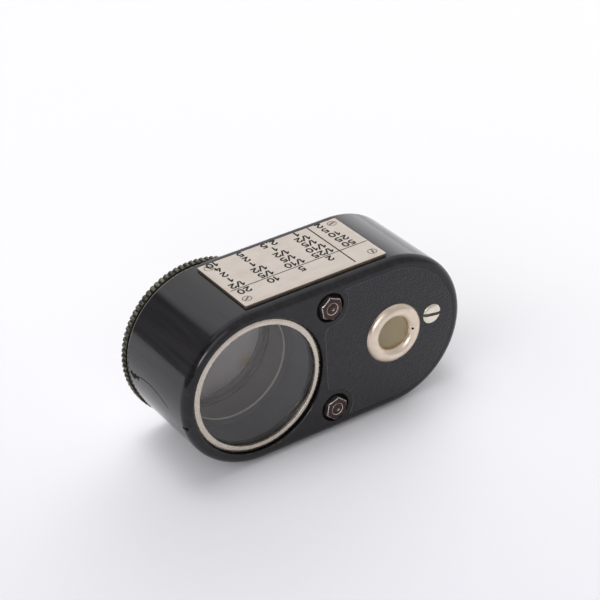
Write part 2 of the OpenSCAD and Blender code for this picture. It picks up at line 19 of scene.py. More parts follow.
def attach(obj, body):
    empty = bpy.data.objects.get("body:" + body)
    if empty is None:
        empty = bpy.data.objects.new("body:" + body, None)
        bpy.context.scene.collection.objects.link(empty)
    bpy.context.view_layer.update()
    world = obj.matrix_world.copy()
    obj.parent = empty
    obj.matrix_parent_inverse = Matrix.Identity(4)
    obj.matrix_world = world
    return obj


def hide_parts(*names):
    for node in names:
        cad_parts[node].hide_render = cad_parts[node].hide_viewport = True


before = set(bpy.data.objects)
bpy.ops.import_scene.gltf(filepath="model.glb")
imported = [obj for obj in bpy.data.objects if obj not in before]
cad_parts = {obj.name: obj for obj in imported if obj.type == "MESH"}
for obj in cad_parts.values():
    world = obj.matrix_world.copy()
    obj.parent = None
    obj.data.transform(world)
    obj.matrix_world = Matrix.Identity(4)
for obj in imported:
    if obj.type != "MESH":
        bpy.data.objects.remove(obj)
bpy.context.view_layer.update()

MM = 0.001
LOG = logging.getLogger("meter")

Point2 = tuple[float, float]
Point3 = tuple[float, float, float]
Corner = tuple[float, float, float]
Colour = tuple[float, float, float, float]
Loop = list[bmesh.types.BMVert]
Marks = dict[bmesh.types.BMVert, float]
Inputs = dict[str | int, object]
Tree = bpy.types.NodeTree
Socket = bpy.types.NodeSocket
Object = bpy.types.Object


class Body(Enum):
    """Moving bodies of the frame."""

    CASE = "case"
    DIAL = "dial"


class Slot(Enum):
    """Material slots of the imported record."""

    ENAMEL = "black_enamel"
    NICKEL = "nickel"
    PLATE = "nickel_silver"
    NUT = "nut_steel"
    BRASS = "raw_brass"
    BLACKENED = "blackened_brass"
    KNURL = "dark_knurled_metal"
    LEATHER = "grained_leather"
    CARD = "packing"
    WINDOW = "window_glass"
    TINT = "tinted_glass"
    GROUND = "ground_glass"
    WEDGE = "grey_wedge_glass"


class Axis(Enum):
    """Axes along Y that turned pieces sit on, as x and z; OWN is that of a piece not yet in its place."""

    OWN = (0.0, 0.0)
    DIAL = (-16.75, 18.0)
    FAR_END = (16.75, 18.0)
    EYELET = (16.75, 18.3)
    COVER = (26.85, 19.3)
    LOWER_BOLT = (1.25, 5.55)
    UPPER_BOLT = (1.25, 30.45)
    INDEX = (2.95, 18.0)


def linear(code: str) -> Colour:
    """Turns an sRGB colour into the linear values that shaders take.

    Args:
        code: Colour as "#rrggbb".

    Returns:
        Linear red, green and blue, with an alpha of 1.
    """
    parts = [int(code[i:i + 2], 16) / 255 for i in (1, 3, 5)]
    red, green, blue = (c / 12.92 if c <= 0.04045 else ((c + 0.055) / 1.055) ** 2.4 for c in parts)
    return red, green, blue, 1.0


def feed(node: bpy.types.Node, inputs: Inputs) -> None:
    """Sets inputs of a node by links and values.

    Args:
        node: Node that is fed.
        inputs: Output socket, colour code or other value for each named or numbered input.
    """
    for key, value in inputs.items():
        if isinstance(value, Socket):
            node.id_data.links.new(value, node.inputs[key])
        else:
            coded = isinstance(value, str) and value.startswith("#")
            node.inputs[key].default_value = linear(value) if coded else value


def add(
    tree: Tree, kind: str, inputs: Inputs | None = None, out: str | int = 0, **settings: object
) -> Socket | None:
    """Adds one node with its settings and links.

    Args:
        tree: Tree that gets the node.
        kind: Type of the node.
        inputs: What its inputs get, as in feed.
        out: Output that is wanted of it.
        **settings: Properties of the node.

    Returns:
        The wanted output, or None where the node has no outputs.
    """
    node = tree.nodes.new(kind)
    for key, value in settings.items():
        setattr(node, key, value)
    feed(node, inputs or {})
    return node.outputs[out] if node.outputs else None


# Finishes

# the span that noise mostly keeps to
NOISE_SPAN = {"From Min": 0.3, "From Max": 0.7}


def sized(place: Socket, width: float, **more: float) -> Inputs:
    """Returns the inputs of a pattern whose patches have a width in millimetres."""
    return {"Vector": place, "Scale": 1 / (width * MM), **more}


def patches(
    tree: Tree, place: Socket, width: float, detail: float = 3.0, low: float = 0.0, high: float = 1.0
) -> Socket:
    """Adds soft patches of a width in millimetres and returns their value, from low to high."""
    noise = add(tree, "ShaderNodeTexNoise", sized(place, width, Detail=detail))
    return add(tree, "ShaderNodeMapRange", {**NOISE_SPAN, "Value": noise, "To Min": low, "To Max": high})


def spot(tree: Tree, place: Socket, centre: Sequence[float], radius: float) -> Socket:
    """Adds a round spot.

    Args:
        tree: Tree of the material.
        place: Coordinates of the spot, in metres.
        centre: Its middle in millimetres.
        radius: Its radius in millimetres.

    Returns:
        1 in the spot and 0 elsewhere.
    """
    at = [c * MM for c in centre]
    far = add(tree, "ShaderNodeVectorMath", {0: place, 1: at}, "Value", operation="DISTANCE")
    return add(tree, "ShaderNodeMath", {0: far, 1: radius * MM}, operation="LESS_THAN")


def coats(tree: Tree, ground: str | Socket, *layers: tuple[Socket, str | Socket]) -> Socket:
    """Lays colours over one another.

    Args:
        tree: Tree of the material.
        ground: Lowest colour.
        *layers: Mask and colour of each layer, from the lowest up.

    Returns:
        The colour of the surface.
    """
    for mask, colour in layers:
        ground = add(tree, "ShaderNodeMix", {0: mask, 6: ground, 7: colour}, 2, data_type="RGBA")
    return ground


@dataclass(frozen=True)
class Finish:
    """A surface finish that is made into one material.

    Attributes:
        name: Name of the real material.
        slot: Material slot of the record that it belongs to.
        colour: Main colour.
        shade: Second colour that varies it.
        rough: Roughness.
        lets_light: Whether light passes it and reaches what lies behind.
    """

    name: str
    slot: Slot
    colour: str
    shade: str
    rough: float
    lets_light: bool = False

    def material(self) -> bpy.types.Material:
        """Gives the material, which is built the first time.

        Returns:
            Material with the finish's nodes.
        """
        made = bpy.data.materials.get(self.name)
        if made:
            return made
        made = bpy.data.materials.new(self.name)
        made.use_nodes = True
        tree = made.node_tree
        shader = tree.nodes["Principled BSDF"]
        feed(shader, self.paint(tree, add(tree, "ShaderNodeTexCoord", out="Object")))
        if self.lets_light:
            shadow = add(tree, "ShaderNodeLightPath", out="Is Shadow Ray")
            gap = add(tree, "ShaderNodeBsdfTransparent", {"Color": self.shade})
            surface = add(tree, "ShaderNodeMixShader", {0: shadow, 1: shader.outputs[0], 2: gap})
            feed(tree.nodes["Material Output"], {"Surface": surface})
        return made

    def paint(self, tree: Tree, place: Socket) -> Inputs:
        """Builds the patterns on object coordinates and returns the inputs of the shader."""
        raise NotImplementedError

    def worked(
        self, tree: Tree, colour: Socket, relief: Socket, depth: float, uneven: float = 0.0
    ) -> Inputs:
        """Gives a surface a roughness and a relief that follow one pattern.

        Args:
            tree: Tree of the material.
            colour: Colour of the surface.
            relief: The pattern, mostly between 0 and 1.
            depth: Depth of the relief in millimetres.
            uneven: Share by which the roughness varies.

        Returns:
            Inputs of the material's shader.
        """
        low, high = self.rough * (1 - uneven), self.rough * (1 + uneven)
        rough = {**NOISE_SPAN, "Value": relief, "To Min": low, "To Max": high}
        return {
            "Base Color": colour,
            "Roughness": add(tree, "ShaderNodeMapRange", rough),
            "Normal": add(tree, "ShaderNodeBump", {"Height": relief, "Distance": depth * MM}),
        }


@dataclass(frozen=True)
class BakedEnamel(Finish):
    """Black enamel, brushed on from front to back and baked: deep gloss, faint streaks, worn edges, painted
    shade in recesses.

    Attributes:
        peel: Width of the orange peel.
        peel_depth: Depth of the orange peel.
        streak: Width of a brush streak.
        drawn: How much the brush shortens the pattern's steps along each axis.
        cloud: Width of a duller patch.
        uneven: Least and greatest share of the roughness.
        fleck: Width of a worn fleck.
        bare: Wear above which the lip of the window is bare.
        rust: Colour of the bare lip.
        rubbed: Colour of the rubbed rim.
        chip_and_shade_black: Colour of the painted shade in the bore and the sinks, and of what the chips
            lay bare.
        dull: What the painted shade, the chips and the hairline add to the roughness.
        gloss: Specular level of clean enamel.
        dull_gloss: Specular level of the painted shade, the chips and the hairline.
        chips: Place and radius of each chip.
        jag: How far the edge of a chip strays.
        jag_width: Width of a tooth of that edge.
        crack: Square, linear and constant term of a hairline's height along Y, and its two ends.
        crack_half: Half width of the hairline.
        crack_side: Where the side with the hairline begins and ends along X.
    """

    peel: float = 2.4
    peel_depth: float = 0.02
    streak: float = 1.1
    drawn: Point3 = (1.0, 0.05, 1.0)
    cloud: float = 0.7
    uneven: Point2 = (0.8, 1.3)
    fleck: float = 0.6
    bare: float = 0.58
    rust: str = "#3a2c1f"
    rubbed: str = "#938f88"
    chip_and_shade_black: str = "#070606"
    dull: float = 0.55
    gloss: float = 0.5
    dull_gloss: float = 0.1
    chips: tuple[tuple[Point3, float], ...] = ()
    jag: float = 0.35
    jag_width: float = 0.4
    crack: tuple[float, float, float, float, float] | None = None
    crack_half: float = 0.12
    crack_side: Point2 = (-40.0, -20.0)

    def damage(self, tree: Tree, place: Socket) -> Iterator[Socket]:
        """Yields a mask for each chip and for the hairline.

        Args:
            tree: Tree of the material.
            place: Object coordinates, in metres.

        Yields:
            1 where the enamel is gone and 0 elsewhere.
        """
        noise = add(tree, "ShaderNodeTexNoise", sized(place, self.jag_width), "Color")
        moved = {0: noise, 1: (2 * self.jag * MM,) * 3, 2: place}
        torn = add(tree, "ShaderNodeVectorMath", moved, operation="MULTIPLY_ADD")
        for centre, radius in self.chips:
            yield spot(tree, torn, [c + self.jag for c in centre], radius)
        if self.crack:
            square, slope, level, start, end = self.crack
            wide = add(tree, "ShaderNodeVectorMath", {0: place, "Scale": 1 / MM}, operation="SCALE")
            x, y, z = add(tree, "ShaderNodeSeparateXYZ", {0: wide}).node.outputs
            bend = add(tree, "ShaderNodeMath", {0: y, 1: square, 2: slope}, operation="MULTIPLY_ADD")
            line = add(tree, "ShaderNodeMath", {0: y, 1: bend, 2: level}, operation="MULTIPLY_ADD")
            off = add(tree, "ShaderNodeMath", {0: z, 1: line}, operation="SUBTRACT")
            mask: float | Socket = 1.0
            limits = ((off, -self.crack_half, self.crack_half), (y, start, end), (x, *self.crack_side))
            for value, low, high in limits:
                span = {0: value, 1: (low + high) / 2, 2: (high - low) / 2}
                near = add(tree, "ShaderNodeMath", span, operation="COMPARE")
                mask = add(tree, "ShaderNodeMath", {0: mask, 1: near}, operation="MULTIPLY")
            yield mask

    def paint(self, tree: Tree, place: Socket) -> Inputs:
        """Builds the streaks, the worn edges, the painted shade in the bore and the sinks, and the damage.

        Args:
            tree: Tree of the material.
            place: Object coordinates, in metres.

        Returns:
            Inputs of the material's shader.
        """
        brushed = add(tree, "ShaderNodeMapping", {"Vector": place, "Scale": self.drawn})
        streak = patches(tree, brushed, self.streak, detail=4.0)
        fleck = add(tree, "ShaderNodeTexNoise", sized(place, self.fleck, Detail=4.0))
        lip, rim, dirt = (
            add(tree, "ShaderNodeAttribute", out="Fac", attribute_name=name)
            for name in ("lip", "rubbed", "dirt")
        )
        flaked = add(tree, "ShaderNodeMath", {0: lip, 1: fleck}, operation="MULTIPLY")
        rust = add(tree, "ShaderNodeMath", {0: flaked, 1: self.bare}, operation="GREATER_THAN")
        worn = add(tree, "ShaderNodeMath", {0: rim, 1: fleck}, operation="MULTIPLY")
        # the mark on the walls of the bore and the sinks paints them black and dull as painted shade; the
        # chips and the hairline join it
        for gone in self.damage(tree, place):
            dirt = add(tree, "ShaderNodeMath", {0: dirt, 1: gone}, operation="MAXIMUM")
        layers = ((streak, self.shade), (rust, self.rust), (worn, self.rubbed), (dirt, self.chip_and_shade_black))
        gloss = {"Value": dirt, "To Min": self.gloss, "To Max": self.dull_gloss}
        low, high = (self.rough * share for share in self.uneven)
        clean = patches(tree, place, self.cloud, detail=6.0, low=low, high=high)
        rough = {0: dirt, 1: self.dull, 2: clean}
        peel = add(tree, "ShaderNodeTexNoise", sized(brushed, self.peel, Detail=3.0))
        return {
            "Base Color": coats(tree, self.colour, *layers),
            "Roughness": add(tree, "ShaderNodeMath", rough, operation="MULTIPLY_ADD"),
            "Specular IOR Level": add(tree, "ShaderNodeMapRange", gloss),
            "IOR": 1.47,
            "Normal": add(tree, "ShaderNodeBump", {"Height": peel, "Distance": self.peel_depth * MM}),
        }


@dataclass(frozen=True)
class PlatedMetal(Finish):
    """Turned brass, nickel plated or bare: warm bright metal, a little clouded, with dirt in the slots and
    painted shade in the bezel's gap.

    Attributes:
        cloud: Width of a cloud in the plating.
        grain: Width of the fine grain.
        depth: Depth of the grain.
        slot_grime_and_gap_shade: Colour of the dirt in the slots, and of the painted shade in the gap round
            the bezel.
        pits: Place and radius of each pit.
        pitted: Colour of a pit.
    """

    cloud: float = 1.8
    grain: float = 0.5
    depth: float = 0.0003
    slot_grime_and_gap_shade: str = "#5c5038"
    pits: tuple[tuple[Point3, float], ...] = ()
    pitted: str = "#1c1510"

    def paint(self, tree: Tree, place: Socket) -> Inputs:
        """Builds the clouds, the dirt in the slots and the painted shade in the bezel's gap, the pits and
        the grain.

        Args:
            tree: Tree of the material.
            place: Object coordinates, in metres.

        Returns:
            Inputs of the material's shader.
        """
        cloud = patches(tree, place, self.cloud)
        dirt = add(tree, "ShaderNodeAttribute", out="Fac", attribute_name="dirt")
        pits = [(spot(tree, place, centre, radius), self.pitted) for centre, radius in self.pits]
        colour = coats(tree, self.colour, (cloud, self.shade), (dirt, self.slot_grime_and_gap_shade), *pits)
        fine = add(tree, "ShaderNodeTexNoise", sized(place, self.grain, Detail=4.0))
        clean = add(tree, "ShaderNodeMath", {0: 1.0, 1: dirt}, operation="SUBTRACT")
        return self.worked(tree, colour, fine, self.depth, uneven=0.1) | {"Metallic": clean}


@dataclass(frozen=True)
class BrushedPlate(Finish):
    """Nickel silver sheet, brushed along its length: pale satin metal, stained brown at its cut edges.

    Attributes:
        drawn: How much the brush shortens the pattern's steps along each axis.
        brush: Width of a brush mark.
        depth: Depth of a brush mark.
        stain: Width of a stain.
        patina: Colour of the cut edges.
    """

    drawn: Point3 = (0.05, 1.0, 1.0)
    # real brush marks are about 0.05 mm wide; drawn at 0.2 mm so that they show
    brush: float = 0.2
    depth: float = 0.003
    stain: float = 4.0
    patina: str = "#7d7062"

    def paint(self, tree: Tree, place: Socket) -> Inputs:
        """Builds the brush marks, the stains and the brown edges.

        Args:
            tree: Tree of the material.
            place: Object coordinates, in metres.

        Returns:
            Inputs of the material's shader.
        """
        brushed = add(tree, "ShaderNodeMapping", {"Vector": place, "Scale": self.drawn})
        brush = add(tree, "ShaderNodeTexNoise", sized(brushed, self.brush, Detail=3.0))
        stain = patches(tree, place, self.stain, detail=5.0)
        dirt = add(tree, "ShaderNodeAttribute", out="Fac", attribute_name="dirt")
        colour = coats(tree, self.colour, (stain, self.shade), (dirt, self.patina))
        return self.worked(tree, colour, brush, self.depth, uneven=0.2) | {"Metallic": 0.85}


@dataclass(frozen=True)
class TurnedSteel(Finish):
    """Steel turned on a lathe and bronzed by age: dull purple-brown ringed faces, and flanks painted bright
    as a painted highlight.

    Attributes:
        ring: Distance between the rings that the tool left.
        depth: Depth of the rings.
        groove: Colour between the rings.
        flank: Roughness of the flanks.
        faces: Part of the normal along Y where a flank ends and where a face begins.
    """

    ring: float = 0.28
    depth: float = 0.012
    groove: str = "#3d3232"
    flank: float = 0.32
    faces: Point2 = (-0.75, -0.92)

    def paint(self, tree: Tree, place: Socket) -> Inputs:
        """Builds the rings on the faces and the painted highlight on the flanks.

        Args:
            tree: Tree of the material.
            place: Object coordinates, which the rings don't need.

        Returns:
            Inputs of the material's shader.
        """
        radius = add(tree, "ShaderNodeAttribute", out="Fac", attribute_name="turned")
        wave = add(tree, "ShaderNodeMath", {0: radius, 1: math.tau / self.ring}, operation="MULTIPLY")
        swing = add(tree, "ShaderNodeMath", {0: wave}, operation="SINE")
        rings = add(tree, "ShaderNodeMath", {0: swing, 1: 0.5, 2: 0.5}, operation="MULTIPLY_ADD")
        normal = add(tree, "ShaderNodeTexCoord", out="Normal")
        ahead = add(tree, "ShaderNodeSeparateXYZ", {0: normal}, "Y")
        start, full = self.faces
        face = add(tree, "ShaderNodeMapRange", {"Value": ahead, "From Min": start, "From Max": full})
        # the flanks, told from the faces by their normal, get the bright colour as a painted highlight
        aged = coats(tree, self.groove, (rings, self.shade))
        rough = {"Value": face, "To Min": self.flank, "To Max": self.rough}
        return {
            "Base Color": coats(tree, self.colour, (face, aged)),
            "Roughness": add(tree, "ShaderNodeMapRange", rough),
            "Metallic": 1.0,
            "Normal": add(tree, "ShaderNodeBump", {"Height": rings, "Distance": self.depth * MM}),
        }


@dataclass(frozen=True)
class MattBlack(Finish):
    """Brass blackened or browned in a bath, black card or wax: soft dull dark skin with rubbed patches, and
    painted light where the tube is marked.

    Attributes:
        patch: Width of a rubbed patch.
        grit: Width of the grain.
        depth: Depth of the grain.
        bare_and_lit: Colour of the bare metal where it is worn, and of the painted light on the back half
            of the tube.
        sheen: Specular level.
    """

    patch: float = 1.5
    grit: float = 0.25
    depth: float = 0.01
    bare_and_lit: str = "#c9bfa8"
    sheen: float = 0.5

    def paint(self, tree: Tree, place: Socket) -> Inputs:
        """Builds the rubbed patches, the worn edges, the painted light and the grain.

        Args:
            tree: Tree of the material.
            place: Object coordinates, in metres.

        Returns:
            Inputs of the material's shader.
        """
        rub = patches(tree, place, self.patch, detail=5.0)
        # the worn mark is full on bare edges and weak on the tube's back half, where it is painted light
        worn = add(tree, "ShaderNodeAttribute", out="Fac", attribute_name="worn")
        colour = coats(tree, self.colour, (rub, self.shade), (worn, self.bare_and_lit))
        grit = add(tree, "ShaderNodeTexNoise", sized(place, self.grit, Detail=3.0))
        return self.worked(tree, colour, grit, self.depth) | {"Specular IOR Level": self.sheen}


@dataclass(frozen=True)
class WornKnurl(Finish):
    """Blackened knurl: dark grease-green roots, and crests rubbed down to grey metal.

    Attributes:
        patch: Width of a rubbed patch.
        depth: Depth of the rubbing.
    """

    patch: float = 1.2
    depth: float = 0.02

    def paint(self, tree: Tree, place: Socket) -> Inputs:
        """Builds the rubbed crests, and the lighter bore of the dial.

        Args:
            tree: Tree of the material.
            place: Object coordinates, in metres.

        Returns:
            Inputs of the material's shader.
        """
        crest = add(tree, "ShaderNodeAttribute", out="Fac", attribute_name="crest")
        rub = add(tree, "ShaderNodeTexNoise", sized(place, self.patch, Detail=4.0))
        worn = add(tree, "ShaderNodeMath", {0: crest, 1: rub}, operation="MULTIPLY")
        shown = add(tree, "ShaderNodeMapRange", {**NOISE_SPAN, "Value": worn})
        colour = coats(tree, self.colour, (shown, self.shade))
        return self.worked(tree, colour, rub, self.depth) | {"Metallic": 0.95}


@dataclass(frozen=True)
class PebbledLeather(Finish):
    """Goatskin pressed with a fine pebble grain: dull black, soft sheen on every pebble, and a painted
    highlight on its rolled edge.

    Attributes:
        pebble: Width of a pebble.
        fold: Width of a fold of the skin.
        fold_share: Height of a fold beside that of a pebble.
        depth: Depth of the valleys, which lie where the pattern is high.
        edge_highlight: Colour of the painted highlight on the rolled edge.
    """

    pebble: float = 0.42
    fold: float = 2.6
    fold_share: float = 0.6
    depth: float = -0.2
    edge_highlight: str = "#48474c"

    def paint(self, tree: Tree, place: Socket) -> Inputs:
        """Builds the pebbles, the folds and the painted highlight on the edge.

        Args:
            tree: Tree of the material.
            place: Object coordinates, in metres.

        Returns:
            Inputs of the material's shader.
        """
        pebbles = sized(place, self.pebble, Randomness=0.9)
        cells = add(tree, "ShaderNodeTexVoronoi", pebbles, "Distance", feature="SMOOTH_F1")
        fold = add(tree, "ShaderNodeTexNoise", sized(place, self.fold, Detail=3.0))
        heights = {0: fold, 1: self.fold_share, 2: cells}
        relief = add(tree, "ShaderNodeMath", heights, operation="MULTIPLY_ADD")
        shown = add(tree, "ShaderNodeMapRange", {**NOISE_SPAN, "Value": relief})
        # a pale line painted on the rolled edge, a painted highlight
        edge = add(tree, "ShaderNodeAttribute", out="Fac", attribute_name="burnished")
        colour = coats(tree, self.colour, (shown, self.shade), (edge, self.edge_highlight))
        return self.worked(tree, colour, relief, self.depth, uneven=0.15) | {"IOR": 1.52}


@dataclass(frozen=True)
class PlainGlass(Finish):
    """Ground and polished glass disc: clear or tinted, with a film of dust and a few grains on it.

    Attributes:
        through: Share of the light that passes.
        film: Width of a patch in the film of dust.
        uneven: Least and greatest share of the roughness.
        grain: Radius of a grain of dust.
        apart: Width of the space that holds one grain.
        haze: Share of the light that a grain stops.
    """

    through: float = 1.0
    film: float = 3.5
    uneven: Point2 = (0.6, 1.4)
    grain: float = 0.12
    apart: float = 2.0
    haze: float = 0.35

    def paint(self, tree: Tree, place: Socket) -> Inputs:
        """Builds the film of dust and the grains in it.

        Args:
            tree: Tree of the material.
            place: Object coordinates, in metres.

        Returns:
            Inputs of the material's shader.
        """
        film = patches(tree, place, self.film, detail=6.0)
        low, high = (self.rough * share for share in self.uneven)
        rough = {**NOISE_SPAN, "Value": film, "To Min": low, "To Max": high}
        cells = add(tree, "ShaderNodeTexVoronoi", sized(place, self.apart), "Distance")
        grain = add(tree, "ShaderNodeMath", {0: cells, 1: self.grain / self.apart}, operation="LESS_THAN")
        clear = {0: grain, 1: -self.through * self.haze, 2: self.through}
        return {
            "Base Color": coats(tree, self.colour, (film, self.shade)),
            "Roughness": add(tree, "ShaderNodeMapRange", rough),
            "IOR": 1.52,
            "Transmission Weight": add(tree, "ShaderNodeMath", clear, operation="MULTIPLY_ADD"),
        }


@dataclass(frozen=True)
class WedgeGlass(Finish):
    """Neutral grey gelatine wedge between glasses, which grows denser round the circle.

    Attributes:
        through: Share of the light that passes unscattered.
        stain: Middle of a yellow patch on the wedge.
        stain_width: Half width of the patch.
        blot: Width of a blot in it.
        yellow: Its colour.
    """

    through: float = 0.3
    stain: Point3 = (-7.4, 10.5, 9.4)
    stain_width: float = 2.6
    blot: float = 1.4
    yellow: str = "#c4ab74"

    def paint(self, tree: Tree, place: Socket) -> Inputs:
        """Builds the density that grows round the circle, and the yellow patch.

        Args:
            tree: Tree of the material.
            place: Object coordinates, in metres.

        Returns:
            Inputs of the material's shader.
        """
        x, z = Axis.DIAL.value
        facing = {"Location": (-x * MM, z * MM, 0.0), "Rotation": (math.pi / 2, 0.0, 0.0)}
        about = add(tree, "ShaderNodeMapping", {"Vector": place, **facing})
        turn = add(tree, "ShaderNodeTexGradient", {"Vector": about}, "Fac", gradient_type="RADIAL")
        at = [c * MM for c in self.stain]
        far = add(tree, "ShaderNodeVectorMath", {0: place, 1: at}, "Value", operation="DISTANCE")
        fall = {"Value": far, "From Min": self.stain_width * MM, "From Max": 0.0}
        near = add(tree, "ShaderNodeMapRange", fall)
        blot = patches(tree, place, self.blot, detail=4.0, high=1.5)
        yellow_patch_mask = add(tree, "ShaderNodeMath", {0: near, 1: blot}, operation="MULTIPLY")
        return {
            "Base Color": coats(tree, self.colour, (turn, self.shade), (yellow_patch_mask, self.yellow)),
            "Roughness": self.rough,
            "IOR": 1.52,
            "Transmission Weight": self.through,
        }


ENAMEL = BakedEnamel(
    "baked_black_enamel", Slot.ENAMEL, "#0f0e10", "#222022", 0.1,
    chips=(
        ((-34.74, 10.2, 17.3), 0.65), ((-34.7, 9.5, 16.8), 0.65), ((-34.74, 8.6, 17.4), 0.6),
        ((-34.74, 7.6, 17.4), 0.6), ((-34.4, -10.5, 14.7), 0.4), ((-34.1, -11.2, 14.6), 0.4),
    ),
    crack=(-0.0306, 0.178, 18.21, -4.9, 7.2),
)
PLATE_ENAMEL = BakedEnamel("stoved_black_enamel", Slot.ENAMEL, "#121113", "#181719", 0.18, peel=1.6)
NICKEL = PlatedMetal(
    "clouded_nickel_plate", Slot.NICKEL, "#f4e5d2", "#e7d7c4", 0.32,
    pits=(((21.24, -12.81, 18.06), 0.28),),
)
POLISHED = PlatedMetal("polished_nickel_plate", Slot.NICKEL, "#f5eee3", "#e8e1ce", 0.17)
# on the bezel, the near-black colour in the marked gap is painted shade
RING_NICKEL = PlatedMetal("bright_nickel_plate", Slot.NICKEL, "#dfd6c8", "#d6ccbd", 0.28, slot_grime_and_gap_shade="#14110f")
DULL_NICKEL = PlatedMetal("dulled_nickel_plate", Slot.NICKEL, "#c9c0b6", "#b3a99d", 0.42)
SHEET = BrushedPlate("brushed_nickel_silver", Slot.PLATE, "#c8c0b6", "#bfb6ab", 0.48)
STEEL = TurnedSteel("turned_bronzed_steel", Slot.NUT, "#ece6de", "#584645", 0.26)
BRASS = PlatedMetal("turned_brass", Slot.BRASS, "#b79a62", "#9c8250", 0.35)
BLACKENED = MattBlack("bath_blackened_brass", Slot.BLACKENED, "#2d2d2f", "#3a3938", 0.5)
BROWNED = MattBlack("browned_brass", Slot.BLACKENED, "#716c66", "#7a756e", 0.55)
CARD = MattBlack("black_card", Slot.CARD, "#262523", "#302e2b", 0.85)
INK = MattBlack("black_engraving_wax", Slot.ENAMEL, "#15120f", "#211c18", 0.6, sheen=0.15)
KNURL = WornKnurl("blackened_knurled_brass", Slot.KNURL, "#403f36", "#8a877a", 0.42)
LEATHER = PebbledLeather("pebbled_goatskin", Slot.LEATHER, "#0d0c0e", "#222125", 0.38)
WINDOW = PlainGlass("polished_crown_glass", Slot.WINDOW, "#f6f5f7", "#f1f0f2", 0.0, lets_light=True)
TINT = PlainGlass("olive_flashed_glass", Slot.TINT, "#958766", "#9c8f6d", 0.18, through=0.0)
GROUND = PlainGlass("acid_ground_glass", Slot.GROUND, "#e4e1d2", "#dbd8c8", 0.55, through=0.6)
WEDGE = WedgeGlass("neutral_grey_wedge", Slot.WEDGE, "#ebe8e4", "#b5b2ac", 0.3, lets_light=True)


# Meshes


def rounded(corners: Sequence[Corner], closed: bool = True, steps: int = 6) -> list[Point2]:
    """Rounds the corners of a profile.

    Args:
        corners: Both coordinates and the rounding of each corner.
        closed: Whether the last corner joins the first.
        steps: Number of steps in each rounding.

    Returns:
        Points of the rounded profile, with a support point beside each rounding.
    """
    points: list[Point2] = []
    for i, (u, v, radius) in enumerate(corners):
        inner = closed or 0 < i < len(corners) - 1
        if radius <= 0 or not inner:
            points.append((u, v))
            continue
        here = Vector((u, v))
        before = Vector(corners[i - 1][:2]) - here
        after = Vector(corners[(i + 1) % len(corners)][:2]) - here
        half = before.angle(after) / 2
        shortest = min(before.length, after.length)
        run = min(radius / math.tan(half), 0.45 * shortest)
        radius = run * math.tan(half)
        one, two = before.normalized(), after.normalized()
        centre = here + (one + two).normalized() * (radius / math.sin(half))
        support = min(0.12 * run, 0.02 * shortest)
        points.append(tuple(here + one * (run + support)))
        start = here + one * run - centre
        sweep = math.pi - 2 * half
        turn = 1 if one.cross(two) < 0 else -1
        for k in range(steps + 1):
            angle = turn * sweep * k / steps
            cos, sin = math.cos(angle), math.sin(angle)
            spoke = Vector((start.x * cos - start.y * sin, start.x * sin + start.y * cos))
            points.append(tuple(centre + spoke))
        points.append(tuple(here + two * (run + support)))
    return points


def arc(centre: Point2, radius: float, start: float, end: float, steps: int) -> list[Point2]:
    """Returns points on an arc from one angle in degrees to another, with both ends."""
    turns = [math.radians(start + (end - start) * i / steps) for i in range(steps + 1)]
    return [(centre[0] + radius * math.cos(t), centre[1] + radius * math.sin(t)) for t in turns]


def inside(point: Vector, outline: Sequence[Vector]) -> bool:
    """Tells whether a point lies in a closed outline.

    Args:
        point: Point to test.
        outline: Corners of the outline.

    Returns:
        True where the point is inside.
    """
    found = False
    for a, b in zip(outline, [*outline[1:], outline[0]]):
        if (a.y > point.y) != (b.y > point.y):
            found ^= point.x < (b.x - a.x) * (point.y - a.y) / (b.y - a.y) + a.x
    return found


def shrunk(outline: Sequence[Point2], by: float) -> list[Point2]:
    """Moves an anticlockwise outline inwards by a small distance.

    Args:
        outline: Points of the outline.
        by: Distance inwards, or outwards where it is negative.

    Returns:
        The moved points, as many as before.
    """
    moved = []
    for i, (u, v) in enumerate(outline):
        before, after = outline[i - 1], outline[(i + 1) % len(outline)]
        along = Vector((after[0] - before[0], after[1] - before[1])).normalized()
        moved.append((u - along.y * by, v + along.x * by))
    return moved


